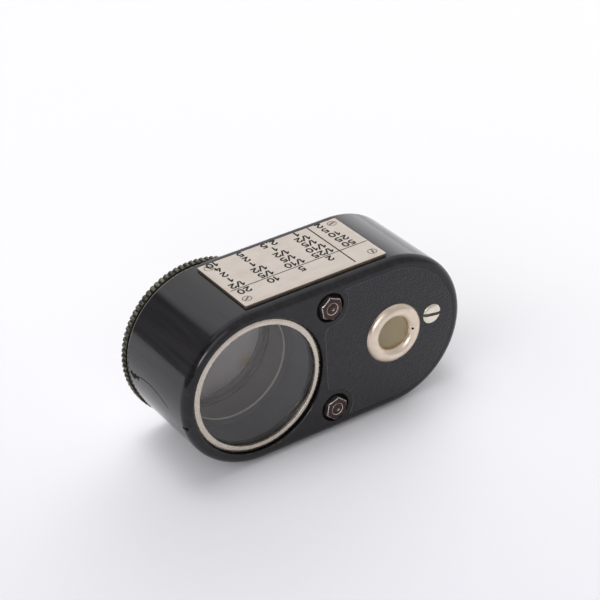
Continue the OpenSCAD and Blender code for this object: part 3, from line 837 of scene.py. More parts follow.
class Skin:
    """Loops of points, and the walls and caps between them, gathered into one closed mesh."""

    def __init__(self) -> None:
        """Starts with an empty mesh."""
        self.bm = bmesh.new()

    def loop(self, points: Iterable[Point3]) -> Loop:
        """Adds points in millimetres and returns their vertices."""
        return [self.bm.verts.new([c * MM for c in point]) for point in points]

    def circle(self, axis: Axis, radius: float, y: float, steps: int) -> Loop:
        """Adds a circle about an axis along Y.

        Args:
            axis: Axis of the circle.
            radius: Radius of the circle; 0 gives a single point.
            y: Place along the axis.
            steps: Number of points.

        Returns:
            Vertices of the circle.
        """
        x, z = axis.value
        if radius < 1e-6:
            return self.loop([(x, y, z)])
        return self.loop((u, y, v) for u, v in arc((x, z), radius, 0, 360, steps)[:-1])

    def stadium(self, radius: float, y: float, steps: int = 64, ease: float = 0.4) -> Loop:
        """Adds a loop with two round ends, as the case has.

        Args:
            radius: Radius of the ends.
            y: Place along Y.
            steps: Number of steps in each end.
            ease: Distance from each end to the support point beside it.

        Returns:
            Vertices of the loop.
        """
        near, far = Axis.FAR_END.value, Axis.DIAL.value
        points = arc(near, radius, -90, 90, steps)
        points += [(near[0] - ease, near[1] + radius), (far[0] + ease, far[1] + radius)]
        points += arc(far, radius, 90, 270, steps)
        points += [(far[0] + ease, far[1] - radius), (near[0] - ease, near[1] - radius)]
        return self.loop((x, y, z) for x, z in points)

    def wall(self, first: Loop, second: Loop) -> None:
        """Joins two loops by a band of faces.

        Args:
            first: One loop, or a single point.
            second: Another of the same length, or a single point.
        """
        count = max(len(first), len(second))
        for i in range(count if count > 1 else 0):
            j = (i + 1) % count
            near = (first[i % len(first)], first[j % len(first)])
            far = (second[j % len(second)], second[i % len(second)])
            self.bm.faces.new(list(dict.fromkeys(near + far)))

    def run(self, loops: Sequence[Loop]) -> None:
        """Joins each loop to the next one."""
        for first, second in zip(loops, loops[1:]):
            self.wall(first, second)

    def lathe(self, axis: Axis, profile: Sequence[Point2], steps: int) -> None:
        """Turns a closed profile, given as radius and y, about an axis in a number of steps."""
        loops = [self.circle(axis, radius, y, steps) for radius, y in profile]
        self.run([*loops, loops[0]])

    def hole(self, axis: Axis, corners: Sequence[Corner], steps: int = 72) -> list[Loop]:
        """Adds the wall of a round hole whose first corner lies in the face.

        Args:
            axis: Axis of the hole.
            corners: Radius, y and rounding of each corner on the way in.
            steps: Number of steps round the axis.

        Returns:
            Loops of the wall, from the face inwards.
        """
        radius, y, _ = corners[0]
        path = rounded([(radius + 1, y, 0.0), *corners], closed=False)[1:]
        loops = [self.circle(axis, r, at, steps) for r, at in path]
        self.run(loops)
        return loops

    def cap(self, outline: Loop, holes: Sequence[Loop] = (), drop: int = 1) -> None:
        """Closes a flat outline and leaves its holes open.

        Args:
            outline: Outer loop.
            holes: Loops of the holes.
            drop: Index of the coordinate that is the same all over.
        """
        loops = [outline, *holes]
        verts = [vert for loop in loops for vert in loop]
        keep = [axis for axis in range(3) if axis != drop]
        shapes = [[Vector((v.co[keep[0]], v.co[keep[1]])) / MM for v in loop] for loop in loops]
        edges: list[tuple[int, int]] = []
        for loop in loops:
            start = len(edges)
            edges += [(start + i, start + (i + 1) % len(loop)) for i in range(len(loop))]
        flat = [point for shape in shapes for point in shape]
        spots, _, faces, origin, _, _ = delaunay_2d_cdt(flat, edges, [], 0, 1e-7)
        for face in faces:
            middle = sum((spots[i] for i in face), Vector((0.0, 0.0))) / len(face)
            if inside(middle, shapes[0]) and not any(inside(middle, shape) for shape in shapes[1:]):
                self.bm.faces.new([verts[origin[i][0]] for i in face])

    def close(self, loops: Sequence[Loop], holes: Sequence[list[Loop]] = (), drop: int = 1) -> None:
        """Joins loops to one another and closes both ends.

        Args:
            loops: Loops from one end to the other.
            holes: Walls of the holes, each from the last loop's end to the first one's.
            drop: Index of the coordinate that is the same all over an end.
        """
        self.run(loops)
        self.cap(loops[-1], [hole[0] for hole in holes], drop)
        self.cap(loops[0], [hole[-1] for hole in holes], drop)

    def box(self, low: Point3, high: Point3) -> None:
        """Adds a closed box between its lowest and its highest corner."""
        sides = [(low[0], low[2]), (high[0], low[2]), (high[0], high[2]), (low[0], high[2])]
        self.close([self.loop((x, y, z) for x, z in sides) for y in (low[1], high[1])])

    def reach(self, axis: Axis) -> Marks:
        """Returns the distance of every vertex from an axis, in millimetres."""
        x, z = axis.value
        return {v: math.hypot(v.co.x / MM - x, v.co.z / MM - z) for v in self.bm.verts}

    def mark(self, **values: Marks) -> None:
        """Stores numbers on the vertices for a material to read, all in one go.

        Args:
            **values: Number of each vertex under the name of its attribute; 0 elsewhere.
        """
        given = {name: [known.get(vert, 0.0) for vert in self.bm.verts] for name, known in values.items()}
        for name, numbers in given.items():
            layer = self.bm.verts.layers.float.new(name)
            for vert, number in zip(self.bm.verts, numbers):
                vert[layer] = number

    def piece(self, name: str, sharp: float = 32.0) -> Object:
        """Makes the mesh an object with outward faces and smooth rounds.

        Args:
            name: Name of the piece.
            sharp: Angle in degrees above which an edge stays sharp.

        Returns:
            The object, at the origin.
        """
        bmesh.ops.remove_doubles(self.bm, verts=self.bm.verts, dist=1e-8)
        bmesh.ops.recalc_face_normals(self.bm, faces=self.bm.faces)
        mesh = bpy.data.meshes.new(name)
        self.bm.to_mesh(mesh)
        self.bm.free()
        mesh.shade_smooth()
        mesh.set_sharp_from_angle(angle=math.radians(sharp))
        return placed(name, mesh)


def placed(name: str, mesh: bpy.types.Mesh) -> Object:
    """Puts a mesh in the scene.

    Args:
        name: Name of its object.
        mesh: The mesh.

    Returns:
        The object, at the origin.
    """
    made = bpy.data.objects.new(name, mesh)
    bpy.context.scene.collection.objects.link(made)
    return made


def turned(name: str, axis: Axis, profile: Sequence[Point2], steps: int = 96) -> Object:
    """Makes a turned piece.

    Args:
        name: Name of the piece.
        axis: Axis that it is turned about.
        profile: Points of its section as radius and y.
        steps: Number of steps round the axis.

    Returns:
        The piece.
    """
    skin = Skin()
    skin.lathe(axis, profile, steps)
    return skin.piece(name)


def settled(made: Object) -> Object:
    """Turns an object's modifiers into plain mesh.

    Args:
        made: Object with modifiers.

    Returns:
        The same object, without modifiers.
    """
    graph = bpy.context.evaluated_depsgraph_get()
    mesh = bpy.data.meshes.new_from_object(
        made.evaluated_get(graph), preserve_all_data_layers=True, depsgraph=graph
    )
    made.modifiers.clear()
    old, made.data = made.data, mesh
    bpy.data.meshes.remove(old)
    return made


def carved(made: Object, low: Point3, high: Point3, slack: float = 0.001) -> Object:
    """Cuts a straight slot along X and marks its floor and walls as dirty.

    Args:
        made: Piece that is cut.
        low: Lowest corner of the slot.
        high: Highest corner of the slot.
        slack: Distance within which a face counts as one of the slot's.

    Returns:
        The same piece with its slot.
    """
    skin = Skin()
    skin.box(low, high)
    tool = skin.piece("slot_tool")
    cut = made.modifiers.new("slot", "BOOLEAN")
    cut.operation, cut.solver, cut.object = "DIFFERENCE", "EXACT", tool
    settled(made)
    bpy.data.objects.remove(tool)
    dirt = made.data.attributes.new("dirt", "FLOAT", "FACE")
    for face in made.data.polygons:
        middle = face.center / MM
        within = all(a - slack < c < b + slack for a, c, b in zip(low, middle, high))
        gaps = [abs(middle[i] - end[i]) for i in (1, 2) for end in (low, high)]
        dirt.data[face.index].value = float(within and min(gaps) < slack)
    return made


# Geometry Nodes


@dataclass
class Copies:
    """Copies of a small piece, set in their places by Geometry Nodes.

    Attributes:
        name: Name of the result.
        piece: Piece to copy, modelled about the axis through the origin.
        finish: Finish of the copies.
    """

    name: str
    piece: Object
    finish: Finish

    @staticmethod
    def tree(name: str, **sizes: str) -> Tree:
        """Starts a tree with named inputs and a geometry output.

        Args:
            name: Name of the tree.
            **sizes: Type of each further input.

        Returns:
            The tree, with its group input node named "in".
        """
        made = bpy.data.node_groups.new(name, "GeometryNodeTree")
        kinds = {"Geometry": "Geometry", "Piece": "Object", "Material": "Material", **sizes}
        for label, kind in kinds.items():
            made.interface.new_socket(label, in_out="INPUT", socket_type=f"NodeSocket{kind}")
        made.interface.new_socket("Geometry", in_out="OUTPUT", socket_type="NodeSocketGeometry")
        add(made, "NodeGroupInput", name="in")
        return made

    @staticmethod
    def close(tree: Tree, points: Socket, turn: Socket) -> Tree:
        """Ends a tree: copies on the points, made real, with their material.

        Args:
            tree: Tree to end.
            points: Points that the copies sit on.
            turn: Rotation of each copy.

        Returns:
            The same tree.
        """
        given = tree.nodes["in"].outputs
        source = {"Object": given["Piece"], "As Instance": True}
        piece = add(tree, "GeometryNodeObjectInfo", source, "Geometry")
        spread = {"Points": points, "Instance": piece, "Rotation": turn}
        copies = add(tree, "GeometryNodeInstanceOnPoints", spread)
        real = add(tree, "GeometryNodeRealizeInstances", {"Geometry": copies})
        dressed = add(tree, "GeometryNodeSetMaterial", {"Geometry": real, "Material": given["Material"]})
        add(tree, "NodeGroupOutput", {"Geometry": dressed})
        return tree

    @classmethod
    @cache
    def ring_tree(cls) -> Tree:
        """Builds the tree for copies at even angles round an axis along Y.

        Returns:
            The tree.
        """
        tree = cls.tree("copies_round_axis", Count="Int", Start="Float", Step="Float", Centre="Vector")
        given = tree.nodes["in"].outputs
        stack = {"Count": given["Count"], "Start Location": given["Centre"], "Offset": (0.0, 0.0, 0.0)}
        points = add(tree, "GeometryNodeMeshLine", stack)
        angles = {0: add(tree, "GeometryNodeInputIndex"), 1: given["Step"], 2: given["Start"]}
        angle = add(tree, "ShaderNodeMath", angles, operation="MULTIPLY_ADD")
        return cls.close(tree, points, add(tree, "ShaderNodeCombineXYZ", {"Y": angle}))

    @classmethod
    @cache
    def seat_tree(cls) -> Tree:
        """Builds the tree for copies on points that carry their own turn.

        Returns:
            The tree.
        """
        tree = cls.tree("copies_on_seats")
        turn = add(tree, "GeometryNodeInputNamedAttribute", {"Name": "turn"}, data_type="FLOAT_VECTOR")
        return cls.close(tree, tree.nodes["in"].outputs["Geometry"], turn)

    def grow(self, mesh: bpy.types.Mesh, tree: Tree, **sizes: object) -> Object:
        """Runs a tree and keeps the result as plain mesh.

        Args:
            mesh: Mesh that carries the tree.
            tree: Tree to run.
            **sizes: Value of each further input.

        Returns:
            One object with all the copies.
        """
        made = placed(self.name, mesh)
        modifier = made.modifiers.new("copies", "NODES")
        modifier.node_group = tree
        values = {"Piece": self.piece, "Material": self.finish.material(), **sizes}
        for label, value in values.items():
            modifier[tree.interface.items_tree[label].identifier] = value
        settled(made)
        bpy.data.objects.remove(self.piece)
        return made

    def round(self, axis: Axis, count: int, start: float, step: float) -> Object:
        """Sets copies round an axis.

        Args:
            axis: Axis that they go round.
            count: Number of copies.
            start: First angle in degrees, from +X towards +Z.
            step: Angle between copies in degrees.

        Returns:
            One object with all the copies.
        """
        x, z = axis.value
        angles = {"Start": -math.radians(start), "Step": -math.radians(step)}
        mesh = bpy.data.meshes.new(self.name)
        return self.grow(mesh, self.ring_tree(), Count=count, Centre=(x * MM, 0.0, z * MM), **angles)

    def on(self, seats: Sequence[tuple[Point3, Point3]]) -> Object:
        """Sets copies on given seats.

        Args:
            seats: Place in millimetres and turn in degrees of each copy.

        Returns:
            One object with all the copies.
        """
        mesh = bpy.data.meshes.new(self.name)
        mesh.from_pydata([[c * MM for c in place] for place, _ in seats], [], [])
        turns = mesh.attributes.new("turn", "FLOAT_VECTOR", "POINT")
        for item, (_, turn) in zip(turns.data, seats):
            item.vector = [math.radians(angle) for angle in turn]
        return self.grow(mesh, self.seat_tree())


# Sub-assemblies


@dataclass
class Piece:
    """A finished piece and what it stands for.

    Attributes:
        made: Its object.
        finish: Its finish.
        node: CAD node that it replaces, if any.
        body: Body that it moves with.
    """

    made: Object
    finish: Finish
    node: str | None = None
    body: Body = Body.CASE

    def settle(self) -> None:
        """Gives the piece its material and hands it to the frame."""
        self.made.data.materials.clear()
        self.made.data.materials.append(self.finish.material())
        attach(self.made, self.body.value)
        if self.node:
            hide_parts(self.node)
        LOG.info("%s: %d faces, %s", self.made.name, len(self.made.data.polygons), self.finish.name)


class Assembly:
    """A group of pieces that are built and dressed together, with the CAD nodes that keep their shape."""

    carried: dict[str, Finish] = {}

    def build(self) -> Iterator[Piece]:
        """Yields the pieces that this group makes."""
        yield from ()

    def dress(self) -> None:
        """Gives the CAD nodes that stay as they are their finish."""
        for node, finish in self.carried.items():
            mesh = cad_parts[node].data
            mesh.materials.clear()
            mesh.materials.append(finish.material())
            LOG.info("%s: CAD node, %s", node, finish.name)


@dataclass
class CaseBody(Assembly):
    """Enamelled case with its rounded front edge and the openings of the front, and the leather on it."""

    radius: float = 18.0
    front: float = -12.0
    back: float = 12.0
    edge: float = 1.8
    wall: float = 1.2
    rim: float = 0.7
    back_edge: float = 0.18
    inner: float = -10.4
    ledge: float = 10.0
    rubbed: float = 0.35
    lip: float = 0.22
    bore: float = 15.55
    bore_lip: float = 0.5
    seat: float = 13.85
    seat_front: float = -9.25
    seat_back: float = -8.35
    socket: float = 15.03
    socket_back: float = -7.15
    collar: float = 16.7
    sink: float = 3.3
    sink_floor: float = -11.4
    bolt_hole: float = 1.28
    shank_hole: float = 5.63
    cover_mouth: float = 1.93
    cover_taper: float = -10.9
    cover_hole: float = 1.13
    cover_gap: float = 2.33
    dirt_from: float = 0.25
    pocket: float = 0.3
    pocket_gap: float = 0.03
    leather: float = 0.1
    leather_edge: float = 0.14
    leather_radius: float = 15.6
    tab_round: float = 1.7
    hollow: float = 4.4

    def panel(self) -> list[Point2]:
        """Gives the outline of the leather.

        Returns:
            Points of the outline, anticlockwise as x and z.
        """
        end, low, high = Axis.FAR_END.value, Axis.LOWER_BOLT.value, Axis.UPPER_BOLT.value
        tip = math.degrees(math.asin((low[1] - end[1] + self.leather_radius) / self.hollow))
        turn_z = low[1] + self.hollow + self.tab_round
        top_z = high[1] - self.hollow - self.tab_round
        points = arc(end, self.leather_radius, -90, 90, 72)
        points += arc(high, self.hollow, tip, -90, 26)
        points += arc((low[0], top_z), self.tab_round, 90, 180, 10)
        points += arc((low[0], turn_z), self.tab_round, 180, 270, 10)
        points += arc(low, self.hollow, 90, -tip, 26)
        return list(dict.fromkeys((round(x, 6), round(z, 6)) for x, z in points))

    def shell(self) -> Object:
        """Builds the case.

        Returns:
            The case as one closed shell.
        """
        skin = Skin()
        bare, rebate = self.radius - self.wall, self.radius - self.rim
        worn = self.back - self.rubbed
        path = rounded(
            [
                (bare, self.inner, 0), (bare, self.ledge, 0), (rebate, self.ledge, 0),
                (rebate, self.back, 0.08), (self.radius, self.back, self.back_edge),
                (self.radius, worn + 0.01, 0), (self.radius, worn - 0.01, 0),
                (self.radius, self.front, self.edge), (self.radius - 3 * self.edge, self.front, 0),
            ],
            closed=False,
            steps=12,
        )[:-1]
        loops = [skin.stadium(radius, y) for radius, y in path]
        skin.run(loops)
        bore = [
            (self.bore, self.front, self.bore_lip), (self.bore, self.seat_front, 0),
            (self.seat, self.seat_front, 0.1), (self.seat, self.seat_back, 0.1),
            (self.socket, self.seat_back, 0), (self.socket, self.socket_back, 0),
            (self.collar, self.socket_back, 0), (self.collar, self.inner, 0),
        ]
        window = skin.hole(Axis.DIAL, bore, 128)
        sink = [
            (self.sink, self.front, self.lip), (self.sink, self.sink_floor, 0.1),
            (self.bolt_hole, self.sink_floor, 0), (self.bolt_hole, self.inner, 0),
        ]
        sinks = [skin.hole(axis, sink) for axis in (Axis.LOWER_BOLT, Axis.UPPER_BOLT)]
        floor_y = self.front + self.pocket
        outline = shrunk(self.panel(), -self.pocket_gap)
        mouth, floor = (skin.loop((x, y, z) for x, z in outline) for y in (self.front, floor_y))
        skin.wall(mouth, floor)
        eyelet = skin.hole(Axis.EYELET, [(self.shank_hole, y, 0) for y in (floor_y, self.inner)])
        taper = [(self.cover_mouth, floor_y, 0), (self.cover_hole, self.cover_taper, 0)]
        cover = skin.hole(Axis.COVER, [*taper, (self.cover_hole, self.inner, 0)])
        skin.cap(loops[-1], [window[0], mouth, *(sink[0] for sink in sinks)])
        skin.cap(floor, [eyelet[0], cover[0]])
        skin.cap(loops[0], [window[-1], eyelet[-1], cover[-1], *(sink[-1] for sink in sinks)])
        # the walls of the window's bore and of the sinks, from just behind the face inwards, are marked for
        # painted shade
        below = (self.front + self.dirt_from) * MM
        dirty = [loop for wall in (window, *sinks) for loop in wall if loop[0].co.y > below]
        outer = self.radius - self.back_edge / 2
        rear = [loop for loop, (radius, y) in zip(loops, path) if radius > outer and y > worn]
        marks = {"dirt": dirty, "rubbed": rear, "lip": window[2:9]}
        skin.mark(**{name: dict.fromkeys(sum(known, []), 1.0) for name, known in marks.items()})
        return skin.piece("case_enamelled")

    def skin_panel(self) -> Object:
        """Builds the leather with its rolled edge.

        Returns:
            The leather panel.
        """
        skin = Skin()
        outline = self.panel()
        face, floor_y = self.front - self.leather, self.front + self.pocket
        loops = [skin.loop((x, floor_y, z) for x, z in outline)]
        for into, rise in arc((self.leather_edge, self.leather_edge), self.leather_edge, 180, 270, 5):
            loops.append(skin.loop((x, face + rise, z) for x, z in shrunk(outline, into)))
        eyelet = skin.hole(Axis.EYELET, [(self.shank_hole, y, 0) for y in (face, floor_y)])
        cover = skin.hole(Axis.COVER, [(self.cover_gap, face, 0.05), (self.cover_gap, floor_y, 0)])
        skin.close(loops, [eyelet, cover])
        # the rolled edge is marked for a painted highlight
        skin.mark(burnished=dict.fromkeys(sum(loops[1:-1], []), 1.0))
        return skin.piece("leather_pebbled")

    def build(self) -> Iterator[Piece]:
        """Yields the case and its leather."""
        yield Piece(self.shell(), ENAMEL, "case_shell")
        yield Piece(self.skin_panel(), LEATHER, "leather_panel")


@dataclass
class LargeWindow(Assembly):
    """Bezel, glass and blackened tube of the large window."""

    carried = {"window_glass": WINDOW, "window_packing": CARD}

    bezel_out: float = 15.52
    bezel_in: float = 13.95
    bezel_front: float = -11.35
    crown: float = 14.75
    shoulder: Point2 = (0.4, 0.12)
    fall: float = 0.42
    # width of the band of painted shade at the bezel's outer edge
    dirt: float = 0.12
    glass_front: float = -10.75
    tube_out: float = 15.0
    tube_in: float = 14.5
    tube_front: float = -8.35
    tube_back: float = 8.2
    stop_in: float = 13.0
    stop_front: float = -0.2
    stop_back: float = 0.3
    stop_bright: float = 0.14
    # share of the pale colour painted on the tube's back half, as painted light
    back_painted_light: float = 0.17

    def bezel(self) -> Object:
        """Builds the bezel ring, whose front rounds off towards the case, with painted shade on its edge in
        the gap.

        Returns:
            The ring.
        """
        out, back = self.shoulder
        corners = [
            (self.bezel_out, self.glass_front, 0.03), (self.bezel_in, self.glass_front, 0.03),
            (self.bezel_in, self.bezel_front, 0.14), (self.crown, self.bezel_front, 0.25),
            (self.crown + out, self.bezel_front + back, 0.15),
            (self.bezel_out, self.bezel_front + self.fall, 0.1),
        ]
        skin = Skin()
        skin.lathe(Axis.DIAL, rounded(corners), 160)
        # the outer edge, down in the gap to the case, is marked for painted shade
        gap = self.bezel_out - self.dirt
        skin.mark(dirt={v: 1.0 for v, radius in skin.reach(Axis.DIAL).items() if radius > gap})
        return skin.piece("window_bezel_ring")

    def tube(self) -> Object:
        """Builds the light tube with its field stop, which is rubbed bright at its edge; its back half is
        painted lighter as painted light from behind.

        Returns:
            The tube.
        """
        bright = self.stop_in + self.stop_bright
        corners = [
            (self.tube_out, self.tube_front, 0.05), (self.tube_out, self.tube_back, 0.05),
            (self.tube_in, self.tube_back, 0.05), (self.tube_in, self.stop_back, 0),
            (self.stop_in, self.stop_back, 0.1), (self.stop_in, self.stop_front, 0.1),
            (bright - 0.01, self.stop_front, 0), (bright + 0.01, self.stop_front, 0),
            (self.tube_in, self.stop_front, 0), (self.tube_in, self.tube_front, 0.05),
        ]
        skin = Skin()
        skin.lathe(Axis.DIAL, rounded(corners), 128)
        # the back half is painted lighter, as painted light from the wedge behind; the stop's edge is bare
        # worn brass
        worn = {v: self.back_painted_light for v in skin.bm.verts if v.co.y > 0.0}
        worn |= {v: 1.0 for v, radius in skin.reach(Axis.DIAL).items() if radius < bright}
        skin.mark(worn=worn)
        return skin.piece("light_tube_blackened")

    def build(self) -> Iterator[Piece]:
        """Yields the bezel ring and the tube."""
        yield Piece(self.bezel(), RING_NICKEL, "window_bezel")
        yield Piece(self.tube(), BLACKENED, "light_tube")


@dataclass
class SmallWindow(Assembly):
    """Domed bezel of the small window, its olive glass and the light path behind it."""

    carried = {
        "eyelet_glass": TINT, "eyelet_spring": BLACKENED, "eyelet_nut": BRASS,
        "light_tunnel": BLACKENED, "port_glass": GROUND,
    }

    outer: float = 6.9
    opening: float = 3.85
    height: float = 0.95
    face: float = -12.1
    seat: float = -11.5
    shank: float = 5.6
    bore: float = 4.93
    shank_end: float = -7.6
    port_out: float = 5.4
    port_in: float = 4.6
    port_front: float = 11.4
    port_back: float = 12.0

    def eyelet(self) -> Object:
        """Builds the domed bezel with its shank.

        Returns:
            The bezel.
        """
        half = (self.outer - self.opening) / 2
        middle = (self.outer + self.opening) / 2
        round_r = (half ** 2 + self.height ** 2) / (2 * self.height)
        spread = math.degrees(math.asin(half / round_r))
        dome = arc((middle, self.face - self.height + round_r), round_r, -90 - spread, -90 + spread, 20)
        under = self.face + 0.02
        profile = [
            *dome, (self.outer - 0.06, under), (self.shank, under), (self.shank, self.shank_end),
            (self.bore, self.shank_end), (self.bore, self.seat), (self.opening, self.seat),
        ]
        return turned("eyelet_domed", Axis.EYELET, profile, 128)

    def port_ring(self) -> Object:
        """Builds the ring of the light port.

        Returns:
            The ring.
        """
        corners = [
            (self.port_out, self.port_front, 0.04), (self.port_out, self.port_back, 0.15),
            (self.port_in, self.port_back, 0.2), (self.port_in, self.port_front, 0.04),
        ]
        return turned("port_ring_turned", Axis.EYELET, rounded(corners))

    def build(self) -> Iterator[Piece]:
        """Yields the domed bezel and the ring of the light port."""
        yield Piece(self.eyelet(), NICKEL, "eyelet")
        yield Piece(self.port_ring(), NICKEL, "port_ring")


@dataclass
class Fasteners(Assembly):
    """Hexagon nuts with their bolts, and the slotted cover screw."""

    carried = {"bolt_sleeves": BRASS, "cover_pillar": BRASS}

    across: float = 4.7
    nut_height: float = 1.3
    nut_top: float = -12.7
    nut_turns: Point2 = (12.0, 53.0)
    nut_steps: int = 144
    crown: float = 2.28
    slope: float = 0.5
    bore: float = 1.28
    bore_edge: float = 0.14
    bolt: float = 1.25
    bolt_dome: float = 0.25
    bolt_head: float = 2.3
    bolt_head_height: float = 1.2
    bolt_turns: Point2 = (36.65, 111.35)
    punch: float = 0.3
    back: float = 12.0
    slot: float = 0.7
    slot_end: float = 3.0
    slot_depth: float = 0.5
    cover_head: float = 2.3
    cover_face: float = -12.1
    cover_dome: float = 0.35
    cover_shank: float = 1.1
    cover_neck: float = 1.2
    cover_end: float = 6.7
    cover_slot_depth: float = 0.36
    cover_turn: float = 9.0

    def nut(self) -> Object:
        """Builds one nut at the origin, with its turned crown at y = 0.

        Returns:
            The nut.
        """
        skin = Skin()
        turns = [math.tau * i / self.nut_steps for i in range(self.nut_steps)]
        flat = math.radians(60)
        sides = [self.across / 2 / math.cos((t + flat / 2) % flat - flat / 2) for t in turns]

        def ring(radii: Sequence[float], depths: Sequence[float]) -> Loop:
            """Adds a loop with its own radius and depth at each angle."""
            return skin.loop((r * math.cos(t), y, r * math.sin(t)) for r, y, t in zip(radii, depths, turns))

        def even(radius: float, depth: float) -> Loop:
            """Adds a plain circle."""
            return ring([radius] * len(turns), [depth] * len(turns))

        drop = [max(0.0, r - self.crown) * self.slope for r in sides]
        loops = [
            even(self.bore, self.nut_height), even(self.bore, self.bore_edge),
            even(self.bore + self.bore_edge, 0.0), even(self.crown - 0.06, 0.0), even(self.crown, 0.01),
            ring([r - 0.05 for r in sides], drop), ring(sides, [d + 0.06 for d in drop]),
            ring(sides, [self.nut_height] * len(turns)),
        ]
        skin.run([*loops, loops[0]])
        skin.mark(turned=skin.reach(Axis.OWN))
        return skin.piece("nut", sharp=24.0)

    def bolt_piece(self) -> Object:
        """Builds one bolt at the origin: domed end with its punch mark in front, slotted head behind.

        Returns:
            The bolt.
        """
        length = self.back - self.nut_top
        round_r = (self.bolt ** 2 + self.bolt_dome ** 2) / (2 * self.bolt_dome)
        first, spread = (math.degrees(math.asin(r / round_r)) for r in (self.punch, self.bolt))
        dome = arc((0.0, round_r - self.bolt_dome), round_r, -90 + first, -90 + spread, 10)
        profile = [
            (0.0, self.punch - self.bolt_dome), *dome, (self.bolt, 0.1),
            (self.bolt, length - self.bolt_head_height), (self.bolt_head, length - 0.06),
            (self.bolt_head - 0.06, length), (0.0, length),
        ]
        skin = Skin()
        skin.lathe(Axis.OWN, profile, 64)
        skin.mark(turned=skin.reach(Axis.OWN))
        floor, half = length - self.slot_depth, self.slot / 2
        return carved(skin.piece("bolt"), (-self.slot_end, floor, -half), (self.slot_end, length + 1, half))

    def cover_screw(self) -> Object:
        """Builds the cover screw at the origin, with the edge of its dome at y = 0.

        Returns:
            The screw.
        """
        shares = [math.sin(math.pi / 2 * i / 16) for i in range(17)]
        dome = [(self.cover_head * t, self.cover_dome * (t ** 5 - 1)) for t in shares]
        profile = [
            *dome, (self.cover_head, 0.08), (self.cover_shank, self.cover_neck),
            (self.cover_shank, self.cover_end), (0.0, self.cover_end),
        ]
        top, half = -self.cover_dome, self.slot / 2
        floor = top + self.cover_slot_depth
        made = turned("screw", Axis.OWN, profile, 72)
        return carved(made, (-self.slot_end, top - 1, -half), (self.slot_end, floor, half))

    def build(self) -> Iterator[Piece]:
        """Builds the nuts, the bolts and the cover screw.

        Yields:
            Each piece with its finish, CAD node and body.
        """
        axes = (Axis.LOWER_BOLT.value, Axis.UPPER_BOLT.value)
        nuts, bolts = (
            [((x, self.nut_top, z), (0.0, turn, 0.0)) for (x, z), turn in zip(axes, turns)]
            for turns in (self.nut_turns, self.bolt_turns)
        )
        yield Piece(Copies("nuts_turned", self.nut(), STEEL).on(nuts), STEEL, "hex_nuts")
        yield Piece(Copies("bolts_turned", self.bolt_piece(), STEEL).on(bolts), STEEL, "clamp_bolts")
        x, z = Axis.COVER.value
        seat = ((x, self.cover_face, z), (0.0, self.cover_turn, 0.0))
        cover = Copies("cover_screw_domed", self.cover_screw(), POLISHED).on([seat])
        yield Piece(cover, POLISHED, "cover_screw")


